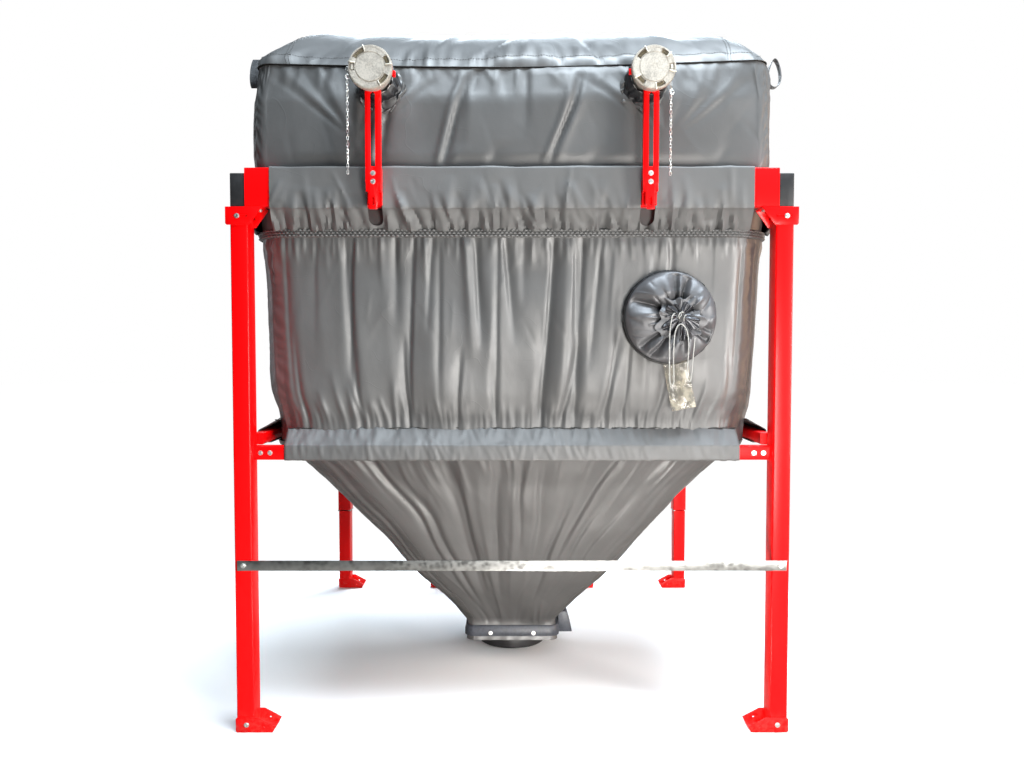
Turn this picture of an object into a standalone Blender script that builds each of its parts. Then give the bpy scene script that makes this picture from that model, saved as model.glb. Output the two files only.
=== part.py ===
"""Fabric pellet silo: a sewn bag with a hopper, hung in a square steel frame.

Metres, +Z up. X runs across the front, Y runs from the front to the back.
The origin is on the ground, under the middle of the silo's whole outline.
"""
import math

import bmesh
import bpy
from mathutils import Matrix, Vector

# The gap between pieces that touch
GAP = 0.0003

# Frame
FRAME_HALF = 0.95
POST_WIDTH = 0.060
POST_DEPTH = 0.080
PLATE = 0.004
POST_TOP = 1.7967
POST_EDGE = 0.002
JACKET_LOW = 0.43
JACKET_HIGH = 0.93
JACKET_WALL = 0.0035
JACKET_OPEN = 0.001

# Shoes under the posts
SHOE_BASE = 0.005
SHOE_HEIGHT = 0.052
SHOE_LENGTH = 0.127
SHOE_TOE_LENGTH = 0.137
SHOE_TOE_HEIGHT = 0.020
SHOE_SHOULDER = 0.078
SHOE_LIP = 0.003
SHOE_BEND = 0.005

# Corner brackets on the posts
BRACKET_HEIGHT = 0.061
BRACKET_OVERHANG = 0.015
BRACKET_REACH = 0.110
BRACKET_FOOT = 0.065
BRACKET_BEND = 0.005
# Helper shapes reach this far past the plates that they cut
CLEAR_OUT = 0.1
CLEAR_IN = 0.3

# Props under the rear lower rail
PROP_X = 0.36
PROP_WIDTH = 0.060
PROP_DEPTH = 0.040
PROP_TOE = 0.055
PROP_TOE_LONG = 0.060

# Upper rails
UPPER_RAIL_DEPTH = 0.050
UPPER_RAIL_LOW = POST_TOP + PLATE + 2 * GAP
FRONT_RAIL_HIGH = 1.932
SIDE_RAIL_HIGH = 1.914
SIDE_RAIL_HALF = 0.940
RAIL_EDGE_RADIUS = 0.004

# Lower rails
LOWER_RAIL_FACE = 0.908
LOWER_RAIL_DEPTH = 0.040
LOWER_FRONT_LOW = 0.939
LOWER_FRONT_HIGH = 0.988
LOWER_SIDE_LOW = LOWER_FRONT_HIGH + 0.0005
LOWER_SIDE_HIGH = LOWER_SIDE_LOW + LOWER_RAIL_DEPTH

# Tie bar across the front posts
TIE_HALF = 0.940
TIE_LOW = 0.564
TIE_HIGH = 0.599
TIE_THICKNESS = 0.005
TIE_EDGE = 0.001

# Fabric
CLOTH = 0.003
BAG_HALF = FRAME_HALF - UPPER_RAIL_DEPTH - CLOTH - 2 * GAP
BAG_RADIUS = 0.17
# The bag's corners are tighter from the hem up
UPPER_RADIUS = 0.145
WAIST_HALF = 0.850
WAIST_LOW = 0.990
WAIST_HIGH = 1.075
HEM_LOW = 1.700
HEM_HIGH = 1.727
SEAM_MIDDLE = 2.285
SEAM_CORNER_RISE = 0.030
BAND = 0.012
CROWN = 2.510
CROWN_FALL = 4
WALL_BULGE = 0.014
UPPER_SLEEVE_HALF = 0.815
LOWER_SLEEVE_HALF = 0.786
# How far above its rail a lower sleeve meets the bag
LOWER_FRONT_RISE = 0.055
LOWER_SIDE_RISE = 0.037
CORNER_STEPS = 6
SIDE_STEPS = 6
# The wall between the hem and the waist: height, inset and share of the bulge
WALL_RINGS = (
    (1.600, 0.004, 0.5),
    (1.400, 0.012, 1.0),
    (1.200, 0.026, 0.5),
)
# The top's rings, each as the share of the way from the seam to the middle
TOP_INSETS = (0.03, 0.08, 0.16, 0.28, 0.45, 0.70)

# Hopper: height, half width and corner radius down to the outlet
HOPPER_RINGS = (
    (0.976, 0.850, 0.170),
    (0.920, 0.785, 0.165),
    (0.800, 0.690, 0.155),
    (0.662, 0.584, 0.135),
    (0.520, 0.482, 0.115),
    (0.374, 0.378, 0.090),
    (0.262, 0.276, 0.065),
    (0.180, 0.214, 0.045),
)
OUTLET_HALF = 0.190
OUTLET_RADIUS = 0.030
OUTLET_NECK_HIGH = 0.150
OUTLET_LOW = 0.067

# Outlet
CLAMP_LOW = 0.087
CLAMP_HIGH = 0.131
CLAMP_WALL = 0.013
CLAMP_LEDGE = 0.020
PLATE_LOW = 0.072
PLATE_HIGH = 0.082
SPOUT_RADIUS = 0.147
SPOUT_LOW = 0.012
SPOUT_LIP = 0.016
SPOUT_EDGE = 0.006
SPOUT_RECESS = 0.004
HOOD_LOW = 0.070
HOOD_HIGH = 0.160
HOOD_REACH = 0.062
HOOD_TOP_REACH = 0.037
HOOD_HALF_DEPTH = 0.090

# Filling pipes
PIPE_X = 0.459
PIPE_Z = 2.233
PIPE_RADIUS = 0.055
PIPE_WALL = 0.003
PIPE_OUT = 1.027
PIPE_IN = 0.860
CAP_RADIUS = 0.072
CAP_FACE = 1.057
CAP_RIM = 0.012
CAP_RECESS = 0.004
CAP_EDGE = 0.004
CAP_BOSS_RADIUS = 0.048
CAP_BOSS_HEIGHT = 0.002
NECK_RADIUS = 0.064
NECK_IN = BAG_HALF + 0.008
NECK_FULL = BAG_HALF + 0.035
NECK_SWELL = 0.004
NECK_TIE = 0.956
NECK_OUT = 0.972
NECK_CUFF = 0.005
COLLAR_RADIUS = 0.066
COLLAR_DEPTH = 0.024
COLLAR_STEP = 0.002

# Brackets that carry the filling pipes
ARM_WIDTH = 0.051
ARM_STRIP_WIDTH = 0.026
ARM_WEB = 0.003
ARM_FLANGE = 0.025
ARM_FACE = 1.000
ARM_LOW = 1.785
ARM_FLANGE_LOW = 1.871
ARM_SLOT_LOW = 1.918
ARM_SLOT_HIGH = 2.168
ARM_SLOT_WIDTH = 0.015
ARM_BASE_WIDTH = 0.049
ARM_BASE_LOW = 1.803
ARM_BASE_HIGH = 1.926

# Chains that hang from the caps
CHAIN_RADIUS = 0.003
CHAIN_Y = 1.043
CHAIN_STEP = 0.015
CHAIN_DROPS = {"left": (-0.0753, 0.0, 0.339), "right": (0.0563, -0.0485, 0.295)}

# Inspection port
PORT_X = 0.540
PORT_Z = 1.430
PORT_RADIUS = 0.158
PORT_RIM_DEPTH = 0.040
PORT_RIM_TAPER = 0.004
PORT_RIM_WALL = 0.012
PORT_RIM_EDGE = 0.008
PORT_COVER_RADIUS = 0.153
PORT_COVER_DEPTH = 0.052
PORT_NOSE_RADIUS = 0.038
PORT_NOSE_HEIGHT = 0.012
PORT_NOSE_EDGE = 0.006
# The wall, where the port's rim is sewn to it, stands this far inside the bag's widest
PORT_SEAT = 0.0008
POUCH_WIDTH = 0.085
POUCH_HEIGHT = 0.165
POUCH_THICKNESS = 0.003
POUCH_LEAN = math.radians(11)
POUCH_SHIFT = 0.022
POUCH_FORWARD = 0.004
STRING_RADIUS = 0.002
STRING_STEP = 0.0118
# How far the cord's hanging bights stand off the cover's nose
STRING_STAND = 0.002

# Strap loops at the bag's top corners
LOOP_Y = 0.800
LOOP_WIDTH = 0.030
LOOP_REACH = 0.044
LOOP_HIGH = 2.318
LOOP_DROP = 0.100
LOOP_BAND = 0.003
# The bag's corner, where the loops are sewn, curves this far in from its side
LOOP_SEAT = 0.0024
# The loop's width at its top, as a share of its width at the bottom
LOOP_NARROW = 0.55

# The whole outline reaches from the caps' faces to the rear brackets
REAR_REACH = FRAME_HALF + PLATE + GAP
CENTRE_Y = (CAP_FACE - REAR_REACH) / 2

RED_PAINT = ((0.60, 0.006, 0.010), 0.34, 0.0)
GREY_CLOTH = ((0.075, 0.073, 0.070), 0.48, 0.0)
BLACK_CLOTH = ((0.020, 0.020, 0.022), 0.60, 0.0)
DARK_STEEL = ((0.045, 0.050, 0.062), 0.45, 0.0)
BLACK_PLASTIC = ((0.015, 0.015, 0.016), 0.45, 0.0)
BARE_STEEL = ((0.52, 0.52, 0.50), 0.38, 1.0)
CAST_METAL = ((0.40, 0.38, 0.35), 0.50, 0.9)
CLEAR_FILM = ((0.62, 0.60, 0.55), 0.15, 0.0)
CORD = ((0.55, 0.53, 0.50), 0.70, 0.0)


def clear_scene():
    for obj in list(bpy.data.objects):
        bpy.data.objects.remove(obj, do_unlink=True)


def material(name, finish):
    colour, roughness, metallic = finish
    mat = bpy.data.materials.new(name)
    mat.use_nodes = True
    shader = mat.node_tree.nodes["Principled BSDF"]
    shader.inputs["Base Color"].default_value = (*colour, 1.0)
    shader.inputs["Roughness"].default_value = roughness
    shader.inputs["Metallic"].default_value = metallic
    return mat


def link(obj, root):
    bpy.context.scene.collection.objects.link(obj)
    obj.parent = root
    return obj


def node(name, bm, finish, root, smooth=False):
    """Make one named solid of a bmesh, under the silo's empty."""
    bmesh.ops.recalc_face_normals(bm, faces=bm.faces)
    mesh = bpy.data.meshes.new(name)
    bm.to_mesh(mesh)
    bm.free()
    if smooth:
        mesh.shade_smooth()
        mesh.set_sharp_from_angle(angle=math.radians(35))
    mesh.materials.append(material(name, finish))
    return link(bpy.data.objects.new(name, mesh), root)


def prism(bm, outline, plane, low, high):
    """Extrude an outline, given in the plane's two axes, from low to high along the third."""
    third = ({"x", "y", "z"} - set(plane)).pop()
    order = {"x": 0, "y": 1, "z": 2}
    verts = []
    for point in outline:
        spot = [0.0, 0.0, 0.0]
        spot[order[plane[0]]], spot[order[plane[1]]] = point
        spot[order[third]] = low
        verts.append(bm.verts.new(spot))
    face = bm.faces.new(verts)
    lift = [0.0, 0.0, 0.0]
    lift[order[third]] = high - low
    grown = bmesh.ops.extrude_face_region(bm, geom=[face], use_keep_orig=True)
    moved = [item for item in grown["geom"] if isinstance(item, bmesh.types.BMVert)]
    bmesh.ops.translate(bm, verts=moved, vec=lift)
    return bm


def rectangle(low_a, high_a, low_b, high_b, radius=0.0):
    """A rectangle's outline, with chamfered corners where a radius is given."""
    if radius == 0.0:
        return [(low_a, low_b), (high_a, low_b), (high_a, high_b), (low_a, high_b)]
    return [
        (low_a + radius, low_b), (high_a - radius, low_b),
        (high_a, low_b + radius), (high_a, high_b - radius),
        (high_a - radius, high_b), (low_a + radius, high_b),
        (low_a, high_b - radius), (low_a, low_b + radius),
    ]


def bar(name, outline, plane, low, high, finish, root):
    return node(name, prism(bmesh.new(), outline, plane, low, high), finish, root)


def cut(obj, tool, operation="DIFFERENCE"):
    """Cut or join a solid with a hidden helper shape."""
    tool.hide_render = True
    tool.display_type = "WIRE"
    change = obj.modifiers.new(tool.name, "BOOLEAN")
    change.operation = operation
    change.solver = "EXACT"
    change.object = tool
    return obj


def helper(name, bm, root):
    bmesh.ops.recalc_face_normals(bm, faces=bm.faces)
    mesh = bpy.data.meshes.new(name)
    bm.to_mesh(mesh)
    bm.free()
    return link(bpy.data.objects.new(name, mesh), root)


def turned(name, profile, steps, place, axis, finish, root):
    """Turn a profile of (radius, distance) points round an axis through place."""
    bm = bmesh.new()
    verts = [bm.verts.new((radius, 0.0, along)) for radius, along in profile]
    closed = profile[0][0] > 0.0
    edges = [bm.edges.new(pair) for pair in zip(verts, verts[1:])]
    if closed:
        edges.append(bm.edges.new((verts[-1], verts[0])))
    bmesh.ops.spin(bm, geom=verts + edges, cent=(0, 0, 0), axis=(0, 0, 1), dvec=(0, 0, 0),
                   angle=math.tau, steps=steps, use_duplicate=False)
    bmesh.ops.remove_doubles(bm, verts=bm.verts, dist=1e-5)
    turn = Vector((0, 0, 1)).rotation_difference(Vector(axis)).to_matrix().to_4x4()
    bmesh.ops.transform(bm, matrix=Matrix.Translation(place) @ turn, verts=bm.verts)
    return node(name, bm, finish, root, smooth=True)


def squircle(half, radius, height, bulge=0.0):
    """The points of a square ring with round corners, whose sides may bulge."""
    ring = []
    straight = half - radius
    for quarter in range(4):
        turn = quarter * math.pi / 2
        for step in range(SIDE_STEPS):
            along = -straight + 2 * straight * step / SIDE_STEPS
            out = half + bulge * math.cos(along / straight * math.pi / 2)
            ring.append(Vector((along * math.cos(turn) + out * math.sin(turn),
                                along * math.sin(turn) - out * math.cos(turn), 0)))
        for step in range(CORNER_STEPS):
            bend = turn - math.pi / 2 + step / CORNER_STEPS * math.pi / 2
            middle = Vector((straight * (math.cos(turn) + math.sin(turn)),
                             straight * (math.sin(turn) - math.cos(turn)), 0))
            ring.append(middle + radius * Vector((math.cos(bend), math.sin(bend), 0)))
    for point in ring:
        point.z = height(point) if callable(height) else height
    return ring


def seam_height(point):
    """The top seam's height: it hangs lowest in the middle of each side."""
    corner = abs(point.x * point.y) / BAG_HALF ** 2
    return SEAM_MIDDLE + SEAM_CORNER_RISE * corner ** 1.5


def skin(rings, peak=None):
    """Join rings of points into one sheet, closed at the last ring where a peak is given."""
    bm = bmesh.new()
    rows = [[bm.verts.new(point) for point in ring] for ring in rings]
    for upper, lower in zip(rows, rows[1:]):
        for index in range(len(upper)):
            after = (index + 1) % len(upper)
            bm.faces.new((upper[index], upper[after], lower[after], lower[index]))
    if peak is not None:
        tip = bm.verts.new(peak)
        last = rows[-1]
        for index in range(len(last)):
            bm.faces.new((last[index], last[(index + 1) % len(last)], tip))
    return bm


def cloth_shell(name, rings, root, finish=GREY_CLOTH, peak=None):
    """A sheet of cloth through the rings, which are its outer face."""
    bm = skin(rings, peak)
    if peak is None:
        bmesh.ops.recalc_face_normals(bm, faces=bm.faces)
    obj = node(name, bm, finish, root, smooth=True)
    # An open sheet's normals may come out inwards, so its middle is tested
    face = obj.data.polygons[0]
    inwards = face.normal.dot(Vector((face.center.x, face.center.y, 0))) < 0
    wall = obj.modifiers.new("cloth", "SOLIDIFY")
    wall.thickness = CLOTH
    wall.offset = 1 if inwards else -1
    wall.use_even_offset = True
    wall.use_rim = True
    return obj


def corners():
    """Name, side and end of the four corners."""
    for end_name, end in (("front", -1), ("rear", 1)):
        for side_name, side in (("left", -1), ("right", 1)):
            yield f"{end_name}_{side_name}", side, end


def mirrored(outline, side):
    return [(side * a, b) for a, b in outline]


def posts(root):
    for name, side, end in corners():
        outer, inner = FRAME_HALF, FRAME_HALF - POST_WIDTH
        low_y, high_y = sorted((end * FRAME_HALF, end * (FRAME_HALF - POST_DEPTH)))
        low_x, high_x = sorted((side * outer, side * inner))
        outline = rectangle(low_x, high_x, low_y, high_y, POST_EDGE)
        post = bar(f"post_{name}", outline, "xy", SHOE_BASE + GAP, POST_TOP, RED_PAINT, root)
        if end > 0:
            wrap = rectangle(low_x - JACKET_WALL, high_x + JACKET_WALL,
                             low_y + JACKET_OPEN, high_y + JACKET_WALL)
            jacket = helper(f"jacket_{name}", prism(bmesh.new(), wrap, "xy", JACKET_LOW, JACKET_HIGH), root)
            cut(post, jacket, "UNION")


def shoes(root):
    for name, side, end in corners():
        outer = FRAME_HALF + SHOE_LIP
        outline = [
            (outer - SHOE_BEND, 0.0), (outer - SHOE_LENGTH, 0.0), (outer - SHOE_TOE_LENGTH, SHOE_TOE_HEIGHT),
            (outer - SHOE_SHOULDER, SHOE_HEIGHT), (outer - SHOE_BEND, SHOE_HEIGHT),
            (outer, SHOE_HEIGHT - SHOE_BEND), (outer, SHOE_BEND),
        ]
        near = FRAME_HALF + GAP + PLATE
        far = FRAME_HALF - POST_DEPTH - GAP - PLATE
        low_y, high_y = sorted((end * near, end * far))
        shoe = bar(f"foot_{name}", mirrored(outline, side), "xz", low_y, high_y, RED_PAINT, root)
        pocket = prism(bmesh.new(), rectangle(low_y + PLATE, high_y - PLATE, SHOE_BASE, 2 * SHOE_HEIGHT),
                       "yz", *sorted((side * (outer + CLEAR_OUT), side * (outer - CLEAR_IN))))
        cut(shoe, helper(f"pocket_{name}", pocket, root))


def corner_brackets(root):
    high = POST_TOP + GAP + PLATE
    for name, side, end in corners():
        outer = FRAME_HALF + BRACKET_OVERHANG
        outline = [
            (outer, high), (outer, high - BRACKET_HEIGHT + BRACKET_BEND),
            (outer - BRACKET_BEND, high - BRACKET_HEIGHT),
            (FRAME_HALF - BRACKET_FOOT, high - BRACKET_HEIGHT), (FRAME_HALF - BRACKET_REACH, high),
        ]
        near = FRAME_HALF + GAP + PLATE
        far = FRAME_HALF - POST_DEPTH - GAP - PLATE
        low_y, high_y = sorted((end * near, end * far))
        bracket = bar(f"corner_bracket_{name}", mirrored(outline, side), "xz", low_y, high_y, RED_PAINT, root)
        pocket = prism(bmesh.new(), rectangle(low_y + PLATE, high_y - PLATE, high - CLEAR_IN, high - PLATE),
                       "yz", *sorted((side * (outer + CLEAR_OUT), side * (outer - CLEAR_IN))))
        cut(bracket, helper(f"bracket_pocket_{name}", pocket, root))


def rear_props(root):
    """Short posts with a shoe that carry the rear lower rail."""
    middle = LOWER_RAIL_FACE - LOWER_RAIL_DEPTH / 2
    low_y, high_y = middle - PROP_DEPTH / 2, middle + PROP_DEPTH / 2
    top = LOWER_FRONT_LOW - CLOTH - 2 * GAP
    for name, side in (("left", -1), ("right", 1)):
        inner, outer = PROP_X - PROP_WIDTH / 2, PROP_X + PROP_WIDTH / 2
        outline = [
            (inner, 0.0), (outer + PROP_TOE, 0.0), (outer + PROP_TOE_LONG, SHOE_TOE_HEIGHT),
            (outer, SHOE_HEIGHT), (outer, top), (inner, top),
        ]
        bar(f"rear_prop_{name}", mirrored(outline, side), "xz", low_y, high_y, RED_PAINT, root)


def rails(root):
    for name, end in (("front", -1), ("rear", 1)):
        near, far = sorted((end * FRAME_HALF, end * (FRAME_HALF - UPPER_RAIL_DEPTH)))
        half = FRAME_HALF - UPPER_RAIL_DEPTH - GAP
        outline = rectangle(near, far, UPPER_RAIL_LOW, FRONT_RAIL_HIGH, RAIL_EDGE_RADIUS)
        bar(f"upper_rail_{name}", outline, "yz", -half, half, RED_PAINT, root)
        near, far = sorted((end * LOWER_RAIL_FACE, end * (LOWER_RAIL_FACE - LOWER_RAIL_DEPTH)))
        half = FRAME_HALF - POST_WIDTH - GAP
        outline = rectangle(near, far, LOWER_FRONT_LOW, LOWER_FRONT_HIGH, RAIL_EDGE_RADIUS)
        bar(f"lower_rail_{name}", outline, "yz", -half, half, RED_PAINT, root)
    for name, side in (("left", -1), ("right", 1)):
        near, far = sorted((side * FRAME_HALF, side * (FRAME_HALF - UPPER_RAIL_DEPTH)))
        outline = rectangle(near, far, UPPER_RAIL_LOW, SIDE_RAIL_HIGH, RAIL_EDGE_RADIUS)
        bar(f"upper_rail_{name}", outline, "xz", -SIDE_RAIL_HALF, SIDE_RAIL_HALF, RED_PAINT, root)
        near, far = sorted((side * LOWER_RAIL_FACE, side * (LOWER_RAIL_FACE - LOWER_RAIL_DEPTH)))
        half = FRAME_HALF - POST_DEPTH - GAP
        outline = rectangle(near, far, LOWER_SIDE_LOW, LOWER_SIDE_HIGH, RAIL_EDGE_RADIUS)
        bar(f"lower_rail_{name}", outline, "xz", -half, half, RED_PAINT, root)


def upper_sleeve_section(high):
    """A sleeve's section: up from the hem, over the rail, and down behind it."""
    face = FRAME_HALF + GAP
    back = BAG_HALF + GAP
    low = UPPER_RAIL_LOW - GAP
    top = high + GAP
    return [
        (back, HEM_LOW), (back + CLOTH, HEM_LOW), (back + CLOTH, HEM_HIGH), (face + CLOTH, low - CLOTH),
        (face + CLOTH, top + 0.001), (face + 0.001, top + CLOTH), (back + 0.001, top + CLOTH),
        (back, top + 0.001), (back, low), (back + CLOTH, low), (back + CLOTH, top), (face, top),
        (face, low - 0.001), (back, HEM_HIGH + 0.002),
    ]


def lower_sleeve_section(low, high, rise):
    """A sleeve's section: from under the rail, up its face, and back up to the bag."""
    face = LOWER_RAIL_FACE + GAP
    under = low - GAP
    rest = WAIST_HALF + GAP
    top = high + rise
    inner = LOWER_RAIL_FACE - LOWER_RAIL_DEPTH - 2 * CLOTH
    slope = rise / (face - rest)
    cloth_down = CLOTH * math.hypot(1, slope)
    fold = high + GAP + cloth_down
    return [
        (inner, under - CLOTH), (face + CLOTH, under - CLOTH), (face + CLOTH, fold - CLOTH * slope),
        (rest, top), (rest, top - cloth_down), (face, high + GAP), (face, under), (inner, under),
    ]


def sleeves(root):
    lower_front = lower_sleeve_section(LOWER_FRONT_LOW, LOWER_FRONT_HIGH, LOWER_FRONT_RISE)
    lower_side = lower_sleeve_section(LOWER_SIDE_LOW, LOWER_SIDE_HIGH, LOWER_SIDE_RISE)
    for name, end in (("front", -1), ("rear", 1)):
        upper = mirrored(upper_sleeve_section(FRONT_RAIL_HIGH), end)
        bar(f"upper_sleeve_{name}", upper, "yz", -UPPER_SLEEVE_HALF, UPPER_SLEEVE_HALF, GREY_CLOTH, root)
        bar(f"lower_sleeve_{name}", mirrored(lower_front, end), "yz", -LOWER_SLEEVE_HALF, LOWER_SLEEVE_HALF,
            GREY_CLOTH, root)
    for name, side in (("left", -1), ("right", 1)):
        upper = mirrored(upper_sleeve_section(SIDE_RAIL_HIGH), side)
        bar(f"upper_sleeve_{name}", upper, "xz", -UPPER_SLEEVE_HALF, UPPER_SLEEVE_HALF, GREY_CLOTH, root)
        bar(f"lower_sleeve_{name}", mirrored(lower_side, side), "xz", -LOWER_SLEEVE_HALF, LOWER_SLEEVE_HALF,
            GREY_CLOTH, root)


def tie_bar(root):
    face = -FRAME_HALF - GAP
    outline = rectangle(face - TIE_THICKNESS, face, TIE_LOW, TIE_HIGH, TIE_EDGE)
    bar("tie_bar_front", outline, "yz", -TIE_HALF, TIE_HALF, BARE_STEEL, root)


def bag(root):
    wall_rings = [
        squircle(BAG_HALF, UPPER_RADIUS, lambda point: seam_height(point) - GAP),
        squircle(BAG_HALF, UPPER_RADIUS, HEM_LOW),
    ]
    for height, inset, share in WALL_RINGS:
        down = (HEM_LOW - height) / (HEM_LOW - WAIST_HIGH)
        radius = UPPER_RADIUS + (BAG_RADIUS - UPPER_RADIUS) * down
        wall_rings.append(squircle(BAG_HALF - inset, radius, height, WALL_BULGE * share))
    wall_rings += [squircle(WAIST_HALF, BAG_RADIUS, height) for height in (WAIST_HIGH, WAIST_LOW)]
    wall = cloth_shell("bag_wall", wall_rings, root)
    for name, side in (("left", -1), ("right", 1)):
        bm = bmesh.new()
        bmesh.ops.create_cone(bm, cap_ends=True, segments=24, radius1=PIPE_RADIUS + GAP,
                              radius2=PIPE_RADIUS + GAP, depth=2 * CLEAR_OUT)
        place = Matrix.Translation((side * PIPE_X, -BAG_HALF, PIPE_Z)) @ Matrix.Rotation(math.pi / 2, 4, "X")
        bmesh.ops.transform(bm, matrix=place, verts=bm.verts)
        cut(wall, helper(f"pipe_hole_{name}", bm, root))

    edge = squircle(BAG_HALF, UPPER_RADIUS, seam_height)
    top_rings = [edge, [point + Vector((0, 0, BAND)) for point in edge]]
    for inset in TOP_INSETS:
        rise = 1 - (1 - inset) ** CROWN_FALL
        ring = []
        for point in edge:
            low = point.z + BAND
            height = low + (CROWN - low) * rise
            ring.append(Vector((point.x * (1 - inset), point.y * (1 - inset), height)))
        top_rings.append(ring)
    cloth_shell("bag_top", top_rings, root, peak=(0, 0, CROWN))

    hopper_rings = [squircle(WAIST_HALF, BAG_RADIUS, WAIST_LOW - GAP)]
    hopper_rings += [squircle(half, radius, height) for height, half, radius in HOPPER_RINGS]
    hopper_rings += [
        squircle(OUTLET_HALF, OUTLET_RADIUS, OUTLET_NECK_HIGH),
        squircle(OUTLET_HALF, OUTLET_RADIUS, OUTLET_LOW),
    ]
    cloth_shell("hopper", hopper_rings, root)


def outlet(root):
    inside = OUTLET_HALF + GAP
    heights = (CLAMP_LOW, CLAMP_HIGH - CLAMP_LEDGE, CLAMP_HIGH)
    reaches = (inside + CLAMP_WALL, inside + CLAMP_WALL, inside + CLAMP_WALL * 0.5)
    outer = [squircle(reach, OUTLET_RADIUS + reach - inside, height)
             for reach, height in zip(reaches, heights)]
    inner = [squircle(inside, OUTLET_RADIUS + GAP, height) for height in (CLAMP_HIGH, CLAMP_LOW)]
    bm = skin(outer + inner + [outer[0]])
    bmesh.ops.remove_doubles(bm, verts=bm.verts, dist=1e-5)
    node("outlet_clamp", bm, DARK_STEEL, root)

    half = OUTLET_HALF - CLOTH - GAP
    bm = prism(bmesh.new(), [tuple(point.xy) for point in squircle(half, OUTLET_RADIUS - CLOTH, 0.0)], "xy",
               PLATE_LOW, PLATE_HIGH)
    node("outlet_plate", bm, DARK_STEEL, root)
    profile = [
        (0.0, SPOUT_LOW + SPOUT_RECESS), (SPOUT_RADIUS - SPOUT_LIP - SPOUT_RECESS, SPOUT_LOW + SPOUT_RECESS),
        (SPOUT_RADIUS - SPOUT_LIP, SPOUT_LOW), (SPOUT_RADIUS - SPOUT_EDGE, SPOUT_LOW),
        (SPOUT_RADIUS, SPOUT_LOW + SPOUT_EDGE), (SPOUT_RADIUS, PLATE_LOW - GAP), (0.0, PLATE_LOW - GAP),
    ]
    turned("outlet_spout", profile, 32, (0, 0, 0), (0, 0, 1), BLACK_PLASTIC, root)
    start = inside + CLAMP_WALL + GAP
    outline = [
        (start, HOOD_LOW), (start + HOOD_REACH, HOOD_LOW),
        (start + HOOD_TOP_REACH, HOOD_HIGH), (start, HOOD_HIGH),
    ]
    bar("hose_hood", outline, "xz", -HOOD_HALF_DEPTH, HOOD_HALF_DEPTH, DARK_STEEL, root)


def filling(root):
    inner = PIPE_RADIUS - PIPE_WALL
    for name, side in (("left", -1), ("right", 1)):
        centre = (side * PIPE_X, 0, PIPE_Z)
        front = (0, -1, 0)
        pipe = [
            (PIPE_RADIUS, PIPE_IN), (PIPE_RADIUS, PIPE_OUT - COLLAR_DEPTH - COLLAR_STEP),
            (COLLAR_RADIUS, PIPE_OUT - COLLAR_DEPTH), (COLLAR_RADIUS, PIPE_OUT),
            (inner, PIPE_OUT), (inner, PIPE_IN),
        ]
        turned(f"fill_pipe_{name}", pipe, 24, centre, front, CAST_METAL, root)
        recess = CAP_FACE - CAP_RECESS
        cap = [
            (0.0, PIPE_OUT + GAP), (CAP_RADIUS, PIPE_OUT + GAP), (CAP_RADIUS, CAP_FACE - CAP_EDGE),
            (CAP_RADIUS - CAP_EDGE, CAP_FACE), (CAP_RADIUS - CAP_RIM, CAP_FACE),
            (CAP_RADIUS - CAP_RIM - CAP_RECESS, recess), (CAP_BOSS_RADIUS + CAP_BOSS_HEIGHT, recess),
            (CAP_BOSS_RADIUS, recess + CAP_BOSS_HEIGHT), (0.0, recess + CAP_BOSS_HEIGHT),
        ]
        turned(f"fill_cap_{name}", cap, 32, centre, front, CAST_METAL, root)
        # The neck is seated on the pipe and swells again behind its tie
        seat = PIPE_RADIUS + GAP
        neck = [
            (seat, NECK_IN), (NECK_RADIUS, NECK_IN), (NECK_RADIUS + NECK_SWELL, NECK_FULL),
            (seat + CLOTH, NECK_TIE), (seat + CLOTH + NECK_CUFF, NECK_OUT), (seat, NECK_OUT),
        ]
        turned(f"fill_neck_{name}", neck, 24, centre, front, BLACK_CLOTH, root)
        pipe_arm(name, side, root)


def pipe_arm(name, side, root):
    """The slotted channel, with its seat on the front rail, that carries a filling pipe."""
    middle = side * PIPE_X
    half = ARM_WIDTH / 2
    strip = ARM_STRIP_WIDTH / 2
    top = PIPE_Z - PIPE_RADIUS - GAP
    outline = [
        (middle - strip, ARM_LOW), (middle + strip, ARM_LOW), (middle + strip, ARM_FLANGE_LOW),
        (middle + half, ARM_FLANGE_LOW), (middle + half, top), (middle - half, top),
        (middle - half, ARM_FLANGE_LOW), (middle - strip, ARM_FLANGE_LOW),
    ]
    back = -ARM_FACE + ARM_FLANGE
    arm = bar(f"fill_arm_{name}", outline, "xz", -ARM_FACE, back, RED_PAINT, root)
    hollow = rectangle(-ARM_FACE + ARM_WEB, back + CLEAR_OUT, ARM_LOW - CLEAR_OUT, top + CLEAR_OUT)
    channel = prism(bmesh.new(), hollow, "yz", middle - half + ARM_WEB, middle + half - ARM_WEB)
    cut(arm, helper(f"arm_channel_{name}", channel, root))
    slot_half = ARM_SLOT_WIDTH / 2
    slot = prism(bmesh.new(), rectangle(middle - slot_half, middle + slot_half, ARM_SLOT_LOW, ARM_SLOT_HIGH,
                                        0.9 * slot_half), "xz", -ARM_FACE - CLEAR_OUT, back)
    cut(arm, helper(f"arm_slot_{name}", slot, root))
    seat = -FRAME_HALF - CLOTH - 2 * GAP
    base_half = ARM_BASE_WIDTH / 2
    block = prism(bmesh.new(), rectangle(middle - base_half, middle + base_half, ARM_BASE_LOW, ARM_BASE_HIGH),
                  "xz", -ARM_FACE + ARM_WEB / 2, seat)
    cut(arm, helper(f"arm_base_{name}", block, root), "UNION")


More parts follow.
